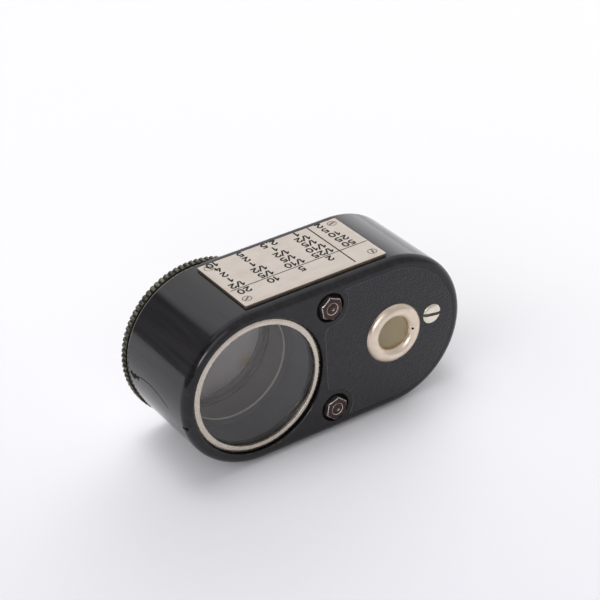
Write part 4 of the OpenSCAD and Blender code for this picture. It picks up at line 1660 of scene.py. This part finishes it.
@dataclass
class Figures:
    """Engraved figures filled with wax, drawn as strokes with round ends.

    Attributes:
        height: Height of a figure.
        stroke: Width of a stroke.
        skin: Mesh that gathers the strokes.
    """

    WIDTHS = {"0": 0.7, "1": 0.4, "2": 0.68, "4": 0.73, "5": 0.66, "/": 0.56, ".": 0.16}
    BROAD = 1.26
    GAP = 0.34
    SLASH_GAP = 0.16
    RELIEF = 0.012
    ROOT = -0.02

    height: float
    stroke: float
    skin: Skin = field(default_factory=Skin)

    @staticmethod
    def strokes(sign: str) -> list[list[Point2]]:
        """Gives the strokes of one sign.

        Args:
            sign: A figure, a slash or a point.

        Returns:
            Lines of points for a sign that is 1 high.
        """
        shapes = {
            "0": [[(0.28 + 0.28 * u, 0.5 + 0.5 * v) for u, v in arc((0.0, 0.0), 1.0, 0, 360, 28)]],
            "1": [[(0.26, 0.0), (0.26, 1.0)], [(0.26, 1.0), (0.02, 0.66)]],
            "2": [[*arc((0.27, 0.73), 0.27, 172, -34, 14), (0.0, 0.0)], [(0.0, 0.0), (0.55, 0.0)]],
            "4": [[(0.32, 1.0), (0.0, 0.3)], [(0.0, 0.3), (0.58, 0.3)], [(0.42, 0.56), (0.42, 0.0)]],
            "5": [
                [(0.5, 1.0), (0.1, 1.0)], [(0.1, 1.0), (0.05, 0.54)],
                [(0.05, 0.54), *arc((0.21, 0.31), 0.31, 118, -128, 16)],
            ],
            "/": [[(0.0, -0.06), (0.44, 1.06)]],
            ".": [[(0.06, 0.0), (0.08, 0.0)]],
        }
        return shapes[sign]

    @staticmethod
    def swung(along: Vector, degrees: float) -> Vector:
        """Returns the unit direction of a line turned by an angle."""
        angle = math.atan2(along.y, along.x) + math.radians(degrees)
        return Vector((math.cos(angle), math.sin(angle)))

    def rails(self, line: Sequence[Point2], width: float) -> tuple[list[Vector], list[Vector], bool]:
        """Gives both sides of a stroke.

        Args:
            line: Points of the stroke.
            width: Width of the stroke.

        Returns:
            Its left and right side, and whether it closes on itself.
        """
        half = width / 2
        points = [Vector(p) for p in line]
        ring = (points[0] - points[-1]).length < 1e-6
        if ring:
            points = points[:-1]
        left, right = [], []
        for i, point in enumerate(points):
            before = points[i - 1] if i or ring else point
            after = points[(i + 1) % len(points)] if i < len(points) - 1 or ring else point
            along = (after - before).normalized()
            side = Vector((-along.y, along.x)) * half
            left.append(point + side)
            right.append(point - side)
        if not ring:
            start, end = points[1] - points[0], points[-1] - points[-2]
            for strip, way in ((left, 1), (right, -1)):
                strip[:0] = [points[0] + self.swung(start, way * a) * half for a in (165, 130)]
                strip += [points[-1] + self.swung(end, way * a) * half for a in (50, 15)]
        return left, right, ring

    def ribbon(self, line: Sequence[Point2], place: Matrix, lift: float, width: float) -> None:
        """Adds one stroke.

        Args:
            line: Points of the stroke in millimetres.
            place: Matrix from the plane of the figures to the part.
            lift: Extra height that keeps crossing strokes apart.
            width: Width of the stroke.
        """
        left, right, ring = self.rails(line, width)
        low_left, low_right, top_left, top_right = (
            self.skin.loop(place @ Vector((p.x, p.y, height)) for p in strip)
            for height in (self.ROOT, self.RELIEF + lift)
            for strip in (left, right)
        )
        bands = (
            (top_left, top_right), (low_left, low_right), (low_left, top_left), (low_right, top_right),
        )
        count = len(low_left)
        for i in range(count if ring else count - 1):
            j = (i + 1) % count
            for a, b in bands:
                self.skin.bm.faces.new((a[i], b[i], b[j], a[j]))
        for i in () if ring else (0, -1):
            self.skin.bm.faces.new((low_left[i], low_right[i], top_right[i], top_left[i]))

    def write(self, text: str, place: Matrix, anchor: float = 0.5) -> None:
        """Writes one number.

        Args:
            text: Signs of the number.
            place: Matrix from the plane of the figures to the part, in millimetres.
            anchor: 0 where the place is the left end, 0.5 the middle, 1 the right end.
        """
        gaps = [self.SLASH_GAP if "/" in pair else self.GAP for pair in zip(text, text[1:])]
        at = -anchor * (sum(self.WIDTHS[sign] for sign in text) + sum(gaps))
        for sign, gap in zip(text, [*gaps, 0.0]):
            for number, line in enumerate(self.strokes(sign)):
                scaled = [((at + u * self.BROAD) * self.height, (v - 0.5) * self.height) for u, v in line]
                self.ribbon(scaled, place, 0.001 * number, self.stroke)
            at += self.WIDTHS[sign] + gap


@dataclass
class TablePlate(Assembly):
    """Plate with the number table on top of the case, and its four screws."""

    left: float = -17.35
    right: float = 17.35
    front: float = -9.5
    back: float = 9.9
    bottom: float = 36.0
    top: float = 36.6
    corner: float = 0.3
    edge: float = 0.07
    head: float = 1.0
    head_height: float = 0.45
    shank: float = 0.5
    screw_end: float = 1.8
    slot: float = 0.22
    slot_end: float = 2.0
    slot_depth: float = 0.15
    screw_turns: tuple[float, ...] = (40.0, 118.0, 75.0, 20.0)
    insets: Point3 = (1.9, 2.5, 1.7)
    figure: float = 1.6
    stroke: float = 0.4
    multipliers: tuple[float, ...] = (2, 5, 10, 20)
    scales: tuple[float, ...] = (50, 25, 10, 5, 2)
    fractions: tuple[int, ...] = (25, 10, 5, 2, 1)
    columns: tuple[float, ...] = (6.85, -0.15, -7.25, -14.2)
    rows: tuple[float, ...] = (-1.15, 1.4, 3.95, 6.45, 8.9)
    heading_row: float = -4.0
    scale_end: float = 12.1
    column_rule: tuple[float, float, float] = (10.15, -8.4, 9.7)
    column_rule_width: float = 0.3
    row_rule: tuple[float, float, float] = (-2.6, 17.0, -16.6)
    row_rule_width: float = 0.23

    def screws(self) -> list[Point2]:
        """Places the four screws.

        Returns:
            Their x and y.
        """
        end, front, back = self.insets
        ends, sides = (self.left + end, self.right - end), (self.front + front, self.back - back)
        return [(x, y) for x in ends for y in sides]

    def sheet(self) -> Object:
        """Builds the plate with its countersunk holes.

        Returns:
            The plate.
        """
        skin = Skin()
        ends = (self.left, self.right)
        sides = [(x, self.front) for x in ends] + [(x, self.back) for x in ends[::-1]]
        outline = rounded([(x, y, self.corner) for x, y in sides])
        levels = [
            (self.bottom, 0.0), (self.top - self.edge, 0.0), (self.top - 0.02, 0.02), (self.top, self.edge),
        ]
        loops = [skin.loop((x, y, z) for x, y in shrunk(outline, into)) for z, into in levels]
        sink = [
            (self.head + 0.07, self.top), (self.head + 0.02, self.top - 0.05),
            (self.shank + 0.03, self.top - self.head_height), (self.shank + 0.03, self.bottom),
        ]
        holes = []
        for centre in self.screws():
            wall = [skin.loop((x, y, z) for x, y in arc(centre, r, 0, 360, 40)[:-1]) for r, z in sink]
            skin.run(wall)
            holes.append(wall)
        skin.close(loops, holes, drop=2)
        skin.mark(dirt={v: 1.0 for v in skin.bm.verts if v.co.z < (self.top - 0.01) * MM})
        return skin.piece("table_sheet")

    def screw(self) -> Object:
        """Builds one plate screw at the origin, facing -Y.

        Returns:
            The screw.
        """
        corners = [
            (0.0, 0.0, 0), (self.head, 0.0, 0.06), (self.shank, self.head_height, 0),
            (self.shank, self.screw_end, 0), (0.0, self.screw_end, 0),
        ]
        made = turned("plate_screw", Axis.OWN, rounded(corners, closed=False, steps=3), 40)
        half = self.slot / 2
        return carved(made, (-self.slot_end, -1.0, -half), (self.slot_end, self.slot_depth, half))

    def value(self, multiplier: float, scale: float) -> str:
        """Gives one entry of the table.

        Args:
            multiplier: Number at the head of the column.
            scale: Number at the start of the row.

        Returns:
            Whole number, decimal or the nearest of the table's fractions.
        """
        share = multiplier / scale
        if share >= 1:
            return f"{share:g}"
        nearest = min(self.fractions, key=lambda part: abs(math.log(share * part)))
        return "1" if nearest == 1 else f"1/{nearest}"

    def numbers(self) -> Object:
        """Builds the table: figures in black wax, read from the back of the case.

        Returns:
            The figures and rules as one piece.
        """
        figures = Figures(self.figure, self.stroke)
        turn = Matrix(((-1, 0, 0, 0), (0, -1, 0, 0), (0, 0, 1, self.top), (0, 0, 0, 1)))

        def at(x: float, y: float) -> Matrix:
            """Returns the plane of the figures, centred on a place of the plate."""
            return Matrix.Translation((x, y, 0.0)) @ turn

        for x, number in zip(self.columns, self.multipliers):
            figures.write(f"{number:g}", at(x, self.heading_row))
        for y, scale in zip(self.rows, self.scales):
            figures.write(f"{scale:g}", at(self.scale_end, y), anchor=1.0)
            for x, number in zip(self.columns, self.multipliers):
                figures.write(self.value(number, scale), at(x, y))
        x, *ends = self.column_rule
        figures.ribbon([(-x, -y) for y in ends], at(0.0, 0.0), 0.002, self.column_rule_width)
        y, *ends = self.row_rule
        figures.ribbon([(-x, -y) for x in ends], at(0.0, 0.0), 0.002, self.row_rule_width)
        return figures.skin.piece("table_figures")

    def build(self) -> Iterator[Piece]:
        """Builds the plate, its figures and its screws.

        Yields:
            Each piece with its finish, CAD node and body.
        """
        yield Piece(self.sheet(), SHEET, "table_plate")
        yield Piece(self.numbers(), INK)
        places = zip(self.screws(), self.screw_turns)
        seats = [((x, y, self.top), (-90.0, 0.0, turn)) for (x, y), turn in places]
        heads = Copies("table_screw_heads", self.screw(), DULL_NICKEL).on(seats)
        yield Piece(heads, DULL_NICKEL, "table_screws")


@dataclass
class BackPlate(Assembly):
    """Enamelled back plate with the bearing of the dial, the light port and the index stud."""

    carried = {"index_stud": NICKEL, "stop_post": BRASS, "friction_washer": BRASS}

    radius: float = 17.27
    front: float = 10.0
    back: float = 12.0
    chamfer: float = 0.12
    bearing: float = 15.05
    port: float = 5.43
    port_seat: float = 4.4
    port_floor: float = 10.5
    pillar_hole: float = 1.13
    stud_hole: float = 0.43
    bolt_mouth: float = 2.33
    bolt_hole: float = 1.28
    bolt_taper: float = 10.8

    def build(self) -> Iterator[Piece]:
        """Builds the plate.

        Yields:
            The plate with its finish and CAD node.
        """
        skin = Skin()
        levels = [
            (self.radius, self.front), (self.radius, self.back - self.chamfer),
            (self.radius - self.chamfer, self.back),
        ]
        loops = [skin.stadium(radius, y) for radius, y in levels]
        port = [
            (self.port, self.back, 0.08), (self.port, self.port_floor, 0),
            (self.port_seat, self.port_floor, 0), (self.port_seat, self.front, 0),
        ]
        taper = [(self.bolt_mouth, self.back, 0.06), (self.bolt_hole, self.bolt_taper, 0)]
        bolt = [*taper, (self.bolt_hole, self.front, 0)]
        holes = [
            skin.hole(Axis.DIAL, [(self.bearing, self.back, 0), (self.bearing, self.front, 0)], 128),
            skin.hole(Axis.EYELET, port),
            skin.hole(Axis.COVER, [(self.pillar_hole, self.back, 0.05), (self.pillar_hole, self.front, 0)]),
            skin.hole(Axis.INDEX, [(self.stud_hole, self.back, 0), (self.stud_hole, self.front, 0)]),
            skin.hole(Axis.LOWER_BOLT, bolt),
            skin.hole(Axis.UPPER_BOLT, bolt),
        ]
        skin.close(loops, holes)
        yield Piece(skin.piece("back_plate_enamelled"), PLATE_ENAMEL, "back_plate")


@dataclass
class SettingDial(Assembly):
    """Knurled dial on the back with its number ring and the wedge glasses."""

    carried = {"wedge_cover": WINDOW, "wedge_retainer": BROWNED, "keeper_ring": BROWNED}

    outer: float = 18.5
    root: float = 18.1
    front: float = 12.15
    back: float = 13.75
    teeth: int = 90
    crest_share: float = 0.4
    chamfer: float = 0.2
    hub: float = 15.0
    hub_front: float = 9.5
    neck: float = 14.7
    neck_front: float = 8.35
    bore: float = 14.05
    bore_back: float = 12.9
    bore_lightening: float = 2.0
    lip: float = 13.2
    scale_out: float = 17.5
    scale_in: float = 13.9
    scale_front: float = 13.4
    scale_gap: float = 0.03
    values: tuple[str, ...] = ("1", "2", "5", "10", "25", "50")
    figure: float = 1.5
    stroke: float = 0.24
    figure_radius: float = 15.15
    first: float = -150.0
    span: float = 300.0
    divisions: int = 30
    mark_out: float = 17.25
    mark_in: float = 16.5
    mark_width: float = 0.16
    main_mark_in: float = 16.15
    main_mark_width: float = 0.22
    screw_head: float = 0.5
    screw_head_height: float = 0.2
    screw_shank: float = 0.3
    screw_end: float = 1.05
    screw_slot: float = 0.2
    screw_slot_end: float = 2.0
    screw_slot_floor: float = -0.08
    screw_circle: float = 15.7
    screw_first: float = -60.0
    screw_turns: Point3 = (25.0, 80.0, 140.0)
    wedge: float = 14.0
    wedge_front: float = 10.5
    wedge_back: float = 12.05

    def ring(self) -> Object:
        """Builds the rim, hub and lip without the teeth; the bore is marked to be lighter.

        Returns:
            The ring.
        """
        groove_in, groove_out = self.scale_in - self.scale_gap, self.scale_out + self.scale_gap
        corners = [
            (self.lip, self.back, 0.15), (groove_in, self.back, 0), (groove_in, self.scale_front, 0),
            (groove_out, self.scale_front, 0), (groove_out, self.back, 0.05),
            (self.root, self.back, 0.1), (self.root, self.front, 0.1),
            (self.hub, self.front, 0), (self.hub, self.hub_front, 0),
            (self.neck, self.hub_front, 0), (self.neck, self.neck_front, 0),
            (self.bore, self.neck_front, 0), (self.bore, self.bore_back, 0), (self.lip, self.bore_back, 0),
        ]
        skin = Skin()
        skin.lathe(Axis.DIAL, rounded(corners), 180)
        out, behind = self.bore + 0.05, (self.bore_back + 0.1) * MM
        bore = [v for v, radius in skin.reach(Axis.DIAL).items() if radius < out and v.co.y < behind]
        skin.mark(crest=dict.fromkeys(bore, self.bore_lightening))
        return skin.piece("dial_ring_turned")

    def tooth(self) -> Object:
        """Builds one knurl tooth about the axis through the origin.

        Returns:
            The tooth, with its crest marked for wear.
        """
        skin = Skin()
        pitch = math.tau / self.teeth
        crest = self.crest_share / 2
        flank = [
            (self.root - 0.2, 0.5), (self.root - 0.03, 0.47),
            (self.outer - 0.1, crest + 0.05), (self.outer, crest - 0.06),
        ]
        section = [(r, -share) for r, share in flank] + flank[::-1]
        levels = (
            (self.front, self.chamfer), (self.front + self.chamfer, 0.0),
            (self.back - self.chamfer, 0.0), (self.back, self.chamfer),
        )
        marks: Marks = {}
        loops = []
        for y, cut in levels:
            radii = [(min(r, self.outer - cut), share * pitch) for r, share in section]
            loop = skin.loop((r * math.cos(a), y, r * math.sin(a)) for r, a in radii)
            marks |= {v: float(r > self.outer - 0.2) for v, (r, _) in zip(loop, section)}
            loops.append(loop)
        skin.close(loops)
        skin.mark(crest=marks)
        return skin.piece("tooth", sharp=20.0)

    def mark_bar(self, inner: float, width: float) -> Object:
        """Builds one scale mark about the axis through the origin.

        Args:
            inner: Radius of its inner end.
            width: Width of the mark.

        Returns:
            The mark.
        """
        skin = Skin()
        low, high = self.back + Figures.ROOT, self.back + Figures.RELIEF
        skin.box((inner, low, -width / 2), (self.mark_out, high, width / 2))
        return skin.piece("mark")

    def numbers(self) -> Object:
        """Builds the numbers of the scale, read from behind.

        Returns:
            The numbers.
        """
        figures = Figures(self.figure, self.stroke)
        step = self.span / (len(self.values) - 1)
        turns = [self.first + i * step for i in range(len(self.values))]
        for text, turn in zip(self.values, turns):
            cos, sin = math.cos(math.radians(turn)), math.sin(math.radians(turn))
            x, z = (c + self.figure_radius * d for c, d in zip(Axis.DIAL.value, (cos, sin)))
            place = Matrix(((-sin, cos, 0, x), (0, 0, 1, self.back), (cos, sin, 0, z), (0, 0, 0, 1)))
            figures.write(text, place)
        return figures.skin.piece("scale_figures")

    def screw(self) -> Object:
        """Builds one scale screw at the origin, facing -Y.

        Returns:
            The screw.
        """
        top, half = -self.screw_head_height, self.screw_slot / 2
        corners = [
            (0.0, top, 0), (self.screw_head, top, 0.06), (self.screw_head, 0.0, 0),
            (self.screw_shank, 0.0, 0), (self.screw_shank, self.screw_end, 0), (0.0, self.screw_end, 0),
        ]
        made = turned("scale_screw", Axis.OWN, rounded(corners, closed=False, steps=3), 32)
        end, floor = self.screw_slot_end, self.screw_slot_floor
        return carved(made, (-end, -1.0, -half), (end, floor, half))

    def build(self) -> Iterator[Piece]:
        """Builds the dial, its teeth, its number ring with marks and figures, the screws and the wedge.

        Yields:
            Each piece with its finish, CAD node and body.
        """
        dial = Body.DIAL
        pitch = 360 / self.teeth
        yield Piece(self.ring(), KNURL, "dial_ring", dial)
        teeth = Copies("dial_teeth", self.tooth(), KNURL).round(Axis.DIAL, self.teeth, pitch / 2, pitch)
        yield Piece(teeth, KNURL, None, dial)
        plate = [
            (self.scale_in, self.scale_front, 0.03), (self.scale_in, self.back, 0.05),
            (self.scale_out, self.back, 0.05), (self.scale_out, self.scale_front, 0.03),
        ]
        yield Piece(turned("scale_ring_plate", Axis.DIAL, rounded(plate), 160), SHEET, "scale_ring", dial)
        marks = (
            ("scale_marks", self.mark_in, self.mark_width, self.divisions),
            ("scale_main_marks", self.main_mark_in, self.main_mark_width, len(self.values) - 1),
        )
        for name, inner, width, parts in marks:
            bars = Copies(name, self.mark_bar(inner, width), INK)
            made = bars.round(Axis.DIAL, parts + 1, self.first, self.span / parts)
            yield Piece(made, INK, None, dial)
        yield Piece(self.numbers(), INK, None, dial)
        circle = arc(Axis.DIAL.value, self.screw_circle, self.screw_first, self.screw_first - 360, 3)
        seats = [((x, self.back, z), (0.0, turn, 180.0)) for (x, z), turn in zip(circle, self.screw_turns)]
        screws = Copies("scale_screw_heads", self.screw(), NICKEL).on(seats)
        yield Piece(screws, NICKEL, "scale_screws", dial)
        disc = [
            (0.0, self.wedge_front, 0), (self.wedge, self.wedge_front, 0.1),
            (self.wedge, self.wedge_back, 0.1), (0.0, self.wedge_back, 0),
        ]
        yield Piece(turned("wedge_disc", Axis.DIAL, rounded(disc)), WEDGE, "wedge_glass", dial)


# Studio


@dataclass(frozen=True)
class Glow:
    """A soft light that is strongest in one direction.

    Attributes:
        aim: Direction of its middle.
        power: How fast it falls off.
        peak: Its value in the middle.
    """

    aim: Point3
    power: float
    peak: float

    def value(self, tree: Tree, way: Socket) -> Socket:
        """Adds the light to a world.

        Args:
            tree: Tree of the world.
            way: Direction of the ray.

        Returns:
            The value for each direction.
        """
        near = add(tree, "ShaderNodeVectorMath", {0: way, 1: self.aim}, "Value", operation="DOT_PRODUCT")
        ahead = add(tree, "ShaderNodeMath", {0: near, 1: 0.0}, operation="MAXIMUM")
        fall = add(tree, "ShaderNodeMath", {0: ahead, 1: self.power}, operation="POWER")
        return add(tree, "ShaderNodeMath", {0: fall, 1: self.peak}, operation="MULTIPLY")


@dataclass(frozen=True)
class Patch:
    """A round patch of the surroundings that polished faces mirror.

    Attributes:
        aim: Direction of its middle.
        angle: Half angle in degrees.
        blur: Half width of its blurred edge in degrees.
        outside: Value outside the patch.
        within: Value in the patch.
    """

    aim: Point3
    angle: float
    blur: float
    outside: float
    within: float

    def value(self, tree: Tree, way: Socket) -> Socket:
        """Adds the patch to a world.

        Args:
            tree: Tree of the world.
            way: Direction of the ray.

        Returns:
            The value for each direction.
        """
        near = add(tree, "ShaderNodeVectorMath", {0: way, 1: self.aim}, "Value", operation="DOT_PRODUCT")
        edges = (self.angle + self.blur, max(0.0, self.angle - self.blur))
        rim, core = (math.cos(math.radians(edge)) for edge in edges)
        span = {"From Min": rim, "From Max": core, "To Min": self.outside, "To Max": self.within}
        return add(tree, "ShaderNodeMapRange", {"Value": near, **span}, interpolation_type="SMOOTHSTEP")


@dataclass
class Studio:
    """White table, soft light from above and the camera of the photograph.

    Attributes:
        eye: Place of the camera.
        ahead: Direction that it looks in.
        above: Direction that is up in its picture.
        lens: Focal length for the sensor.
        sensor: Width of the sensor.
        table: Width of the table.
        table_z: Height of the table, 0.05 above the lowest crest of the dial.
        near: Direction on the table towards the camera, along which it is painted darker as painted shade.
        falls: Where on the way the table begins and ends to darken.
        seen_card: Far and near colour of the table to the camera.
        lit_card: Far and near colour of the table to all other rays.
        dim: Light from every direction.
        glows: Soft lights overhead, in front on the left and behind on the right.
        horizon: Direction along Y where the mirrored room begins and ends to lighten.
        room: Brightness of the mirrored room in front and behind.
        walls: Dark walls that polished faces mirror.
        lamps: Bright panes that polished faces mirror.
        white: Colour that the camera sees past the table.
        cool: Colour of the light.
    """

    eye: Point3 = (-171.74, -284.19, 228.70)
    ahead: Point3 = (0.44446, 0.72994, -0.51927)
    above: Point3 = (0.32101, 0.41139, 0.85306)
    lens: float = 110.36
    sensor: float = 36.0
    table: float = 3000.0
    table_z: float = -0.45
    near: Point3 = (-0.52, -0.855, 0.0)
    falls: Point2 = (-60.0, 130.0)
    seen_card: tuple[str, str] = ("#fefefe", "#efeff4")
    lit_card: tuple[str, str] = ("#ffffff", "#cac9cf")
    dim: float = 0.05
    glows: tuple[Glow, ...] = (
        Glow((0.0, 0.160, 0.987), 33.0, 5.6),
        Glow((-0.90, -0.41, 0.149), 1.8, 2.2),
        Glow((0.72, 0.68, 0.149), 6.0, 4.0),
    )
    horizon: Point2 = (-0.35, 0.05)
    room: Point2 = (0.5, 0.95)
    walls: tuple[Patch, ...] = (
        Patch((-0.907, 0.385, 0.174), 50.0, 3.0, 1.0, 0.25),
        Patch((-0.88, -0.32, 0.34), 38.0, 3.0, 1.0, 0.25),
    )
    lamps: tuple[Patch, ...] = (
        Patch((-0.354, -0.834, 0.423), 20.0, 3.0, 0.0, 0.75),
        Patch((-0.51, -0.80, 0.32), 6.0, 3.0, 0.0, 6.0),
        Patch((0.66, 0.74, 0.12), 14.0, 10.0, 0.0, 0.7),
        Patch((0.12, 0.73, 0.67), 22.0, 6.0, 0.0, 0.17),
    )
    white: Colour = (1.0, 1.0, 1.0, 1.0)
    cool: Colour = (0.985, 0.975, 1.0, 1.0)

    def floor(self) -> None:
        """Lays the white table, which looks white to the camera and lights the object as pale card; both
        colours are painted darker towards the camera, as painted shade.
        """
        half, z = self.table * MM / 2, self.table_z * MM
        corners = [(x * half, y * half, z) for x, y in ((-1, -1), (1, -1), (1, 1), (-1, 1))]
        mesh = bpy.data.meshes.new("white_table")
        mesh.from_pydata(corners, [], [(0, 1, 2, 3)])
        table = placed("white_table", mesh)
        paper = bpy.data.materials.new("white_card_table")
        paper.use_nodes = True
        tree = paper.node_tree
        place = add(tree, "ShaderNodeTexCoord", out="Object")
        # both colours of the table darken towards the camera: painted shade of light that comes from behind
        way = add(tree, "ShaderNodeVectorMath", {0: place, 1: self.near}, "Value", operation="DOT_PRODUCT")
        start, end = (distance * MM for distance in self.falls)
        fade = add(tree, "ShaderNodeMapRange", {"Value": way, "From Min": start, "From Max": end})
        seen, lit = (coats(tree, far, (fade, close)) for far, close in (self.seen_card, self.lit_card))
        direct = add(tree, "ShaderNodeLightPath", out="Is Camera Ray")
        colour = coats(tree, lit, (direct, seen))
        card = {"Base Color": colour, "Roughness": 0.7, "Specular IOR Level": 0.2}
        feed(tree.nodes["Principled BSDF"], card)
        mesh.materials.append(paper)

    def world(self) -> None:
        """Lights the table from above, and sets what polished faces mirror."""
        world = bpy.data.worlds.new("white_studio")
        world.use_nodes = True
        tree = world.node_tree
        tree.nodes.clear()
        way = add(tree, "ShaderNodeTexCoord", out="Generated")
        dome: float | Socket = self.dim
        for glow in self.glows:
            dome = add(tree, "ShaderNodeMath", {0: glow.value(tree, way), 1: dome}, operation="ADD")
        keys = ("From Min", "From Max", "To Min", "To Max")
        behind = add(tree, "ShaderNodeSeparateXYZ", {0: way}, "Y")
        span = dict(zip(keys, (*self.horizon, *self.room)))
        shown = add(tree, "ShaderNodeMapRange", {"Value": behind, **span})
        for group, change in ((self.walls, "MULTIPLY"), (self.lamps, "ADD")):
            for patch in group:
                shown = add(tree, "ShaderNodeMath", {0: shown, 1: patch.value(tree, way)}, operation=change)
        path = add(tree, "ShaderNodeLightPath").node.outputs
        seen, mirrored, surface = (
            add(tree, "ShaderNodeBackground", {"Color": colour, "Strength": strength})
            for colour, strength in ((self.white, 1.0), (self.cool, shown), (self.cool, dome))
        )
        rays = (("Is Glossy Ray", mirrored), ("Is Transmission Ray", mirrored), ("Is Camera Ray", seen))
        for kind, light in rays:
            surface = add(tree, "ShaderNodeMixShader", {0: path[kind], 1: surface, 2: light})
        add(tree, "ShaderNodeOutputWorld", {"Surface": surface})
        bpy.context.scene.world = world

    def camera(self) -> None:
        """Puts the camera where the photograph was taken."""
        data = bpy.data.cameras.new("camera")
        data.lens, data.sensor_width = self.lens, self.sensor
        data.clip_start, data.clip_end = 0.01, 20.0
        camera = bpy.data.objects.new("camera", data)
        ahead, above = Vector(self.ahead).normalized(), Vector(self.above).normalized()
        across = ahead.cross(above)
        turn = Matrix((across, across.cross(ahead), -ahead)).transposed()
        camera.matrix_world = Matrix.Translation(Vector(self.eye) * MM) @ turn.to_4x4()
        bpy.context.scene.collection.objects.link(camera)
        bpy.context.scene.camera = camera

    def build(self) -> None:
        """Sets the whole studio up."""
        self.floor()
        self.world()
        self.camera()
        bpy.context.scene.view_settings.view_transform = "Standard"


def main() -> None:
    """Builds and dresses every sub-assembly and the studio in order."""
    logging.basicConfig(level=logging.INFO, format="%(name)s: %(message)s")
    assemblies: list[Assembly] = [
        CaseBody(), LargeWindow(), SmallWindow(), Fasteners(), TablePlate(), BackPlate(), SettingDial(),
    ]
    for assembly in assemblies:
        for piece in assembly.build():
            piece.settle()
        assembly.dress()
    Studio().build()


if __name__ == "__main__":
    main()
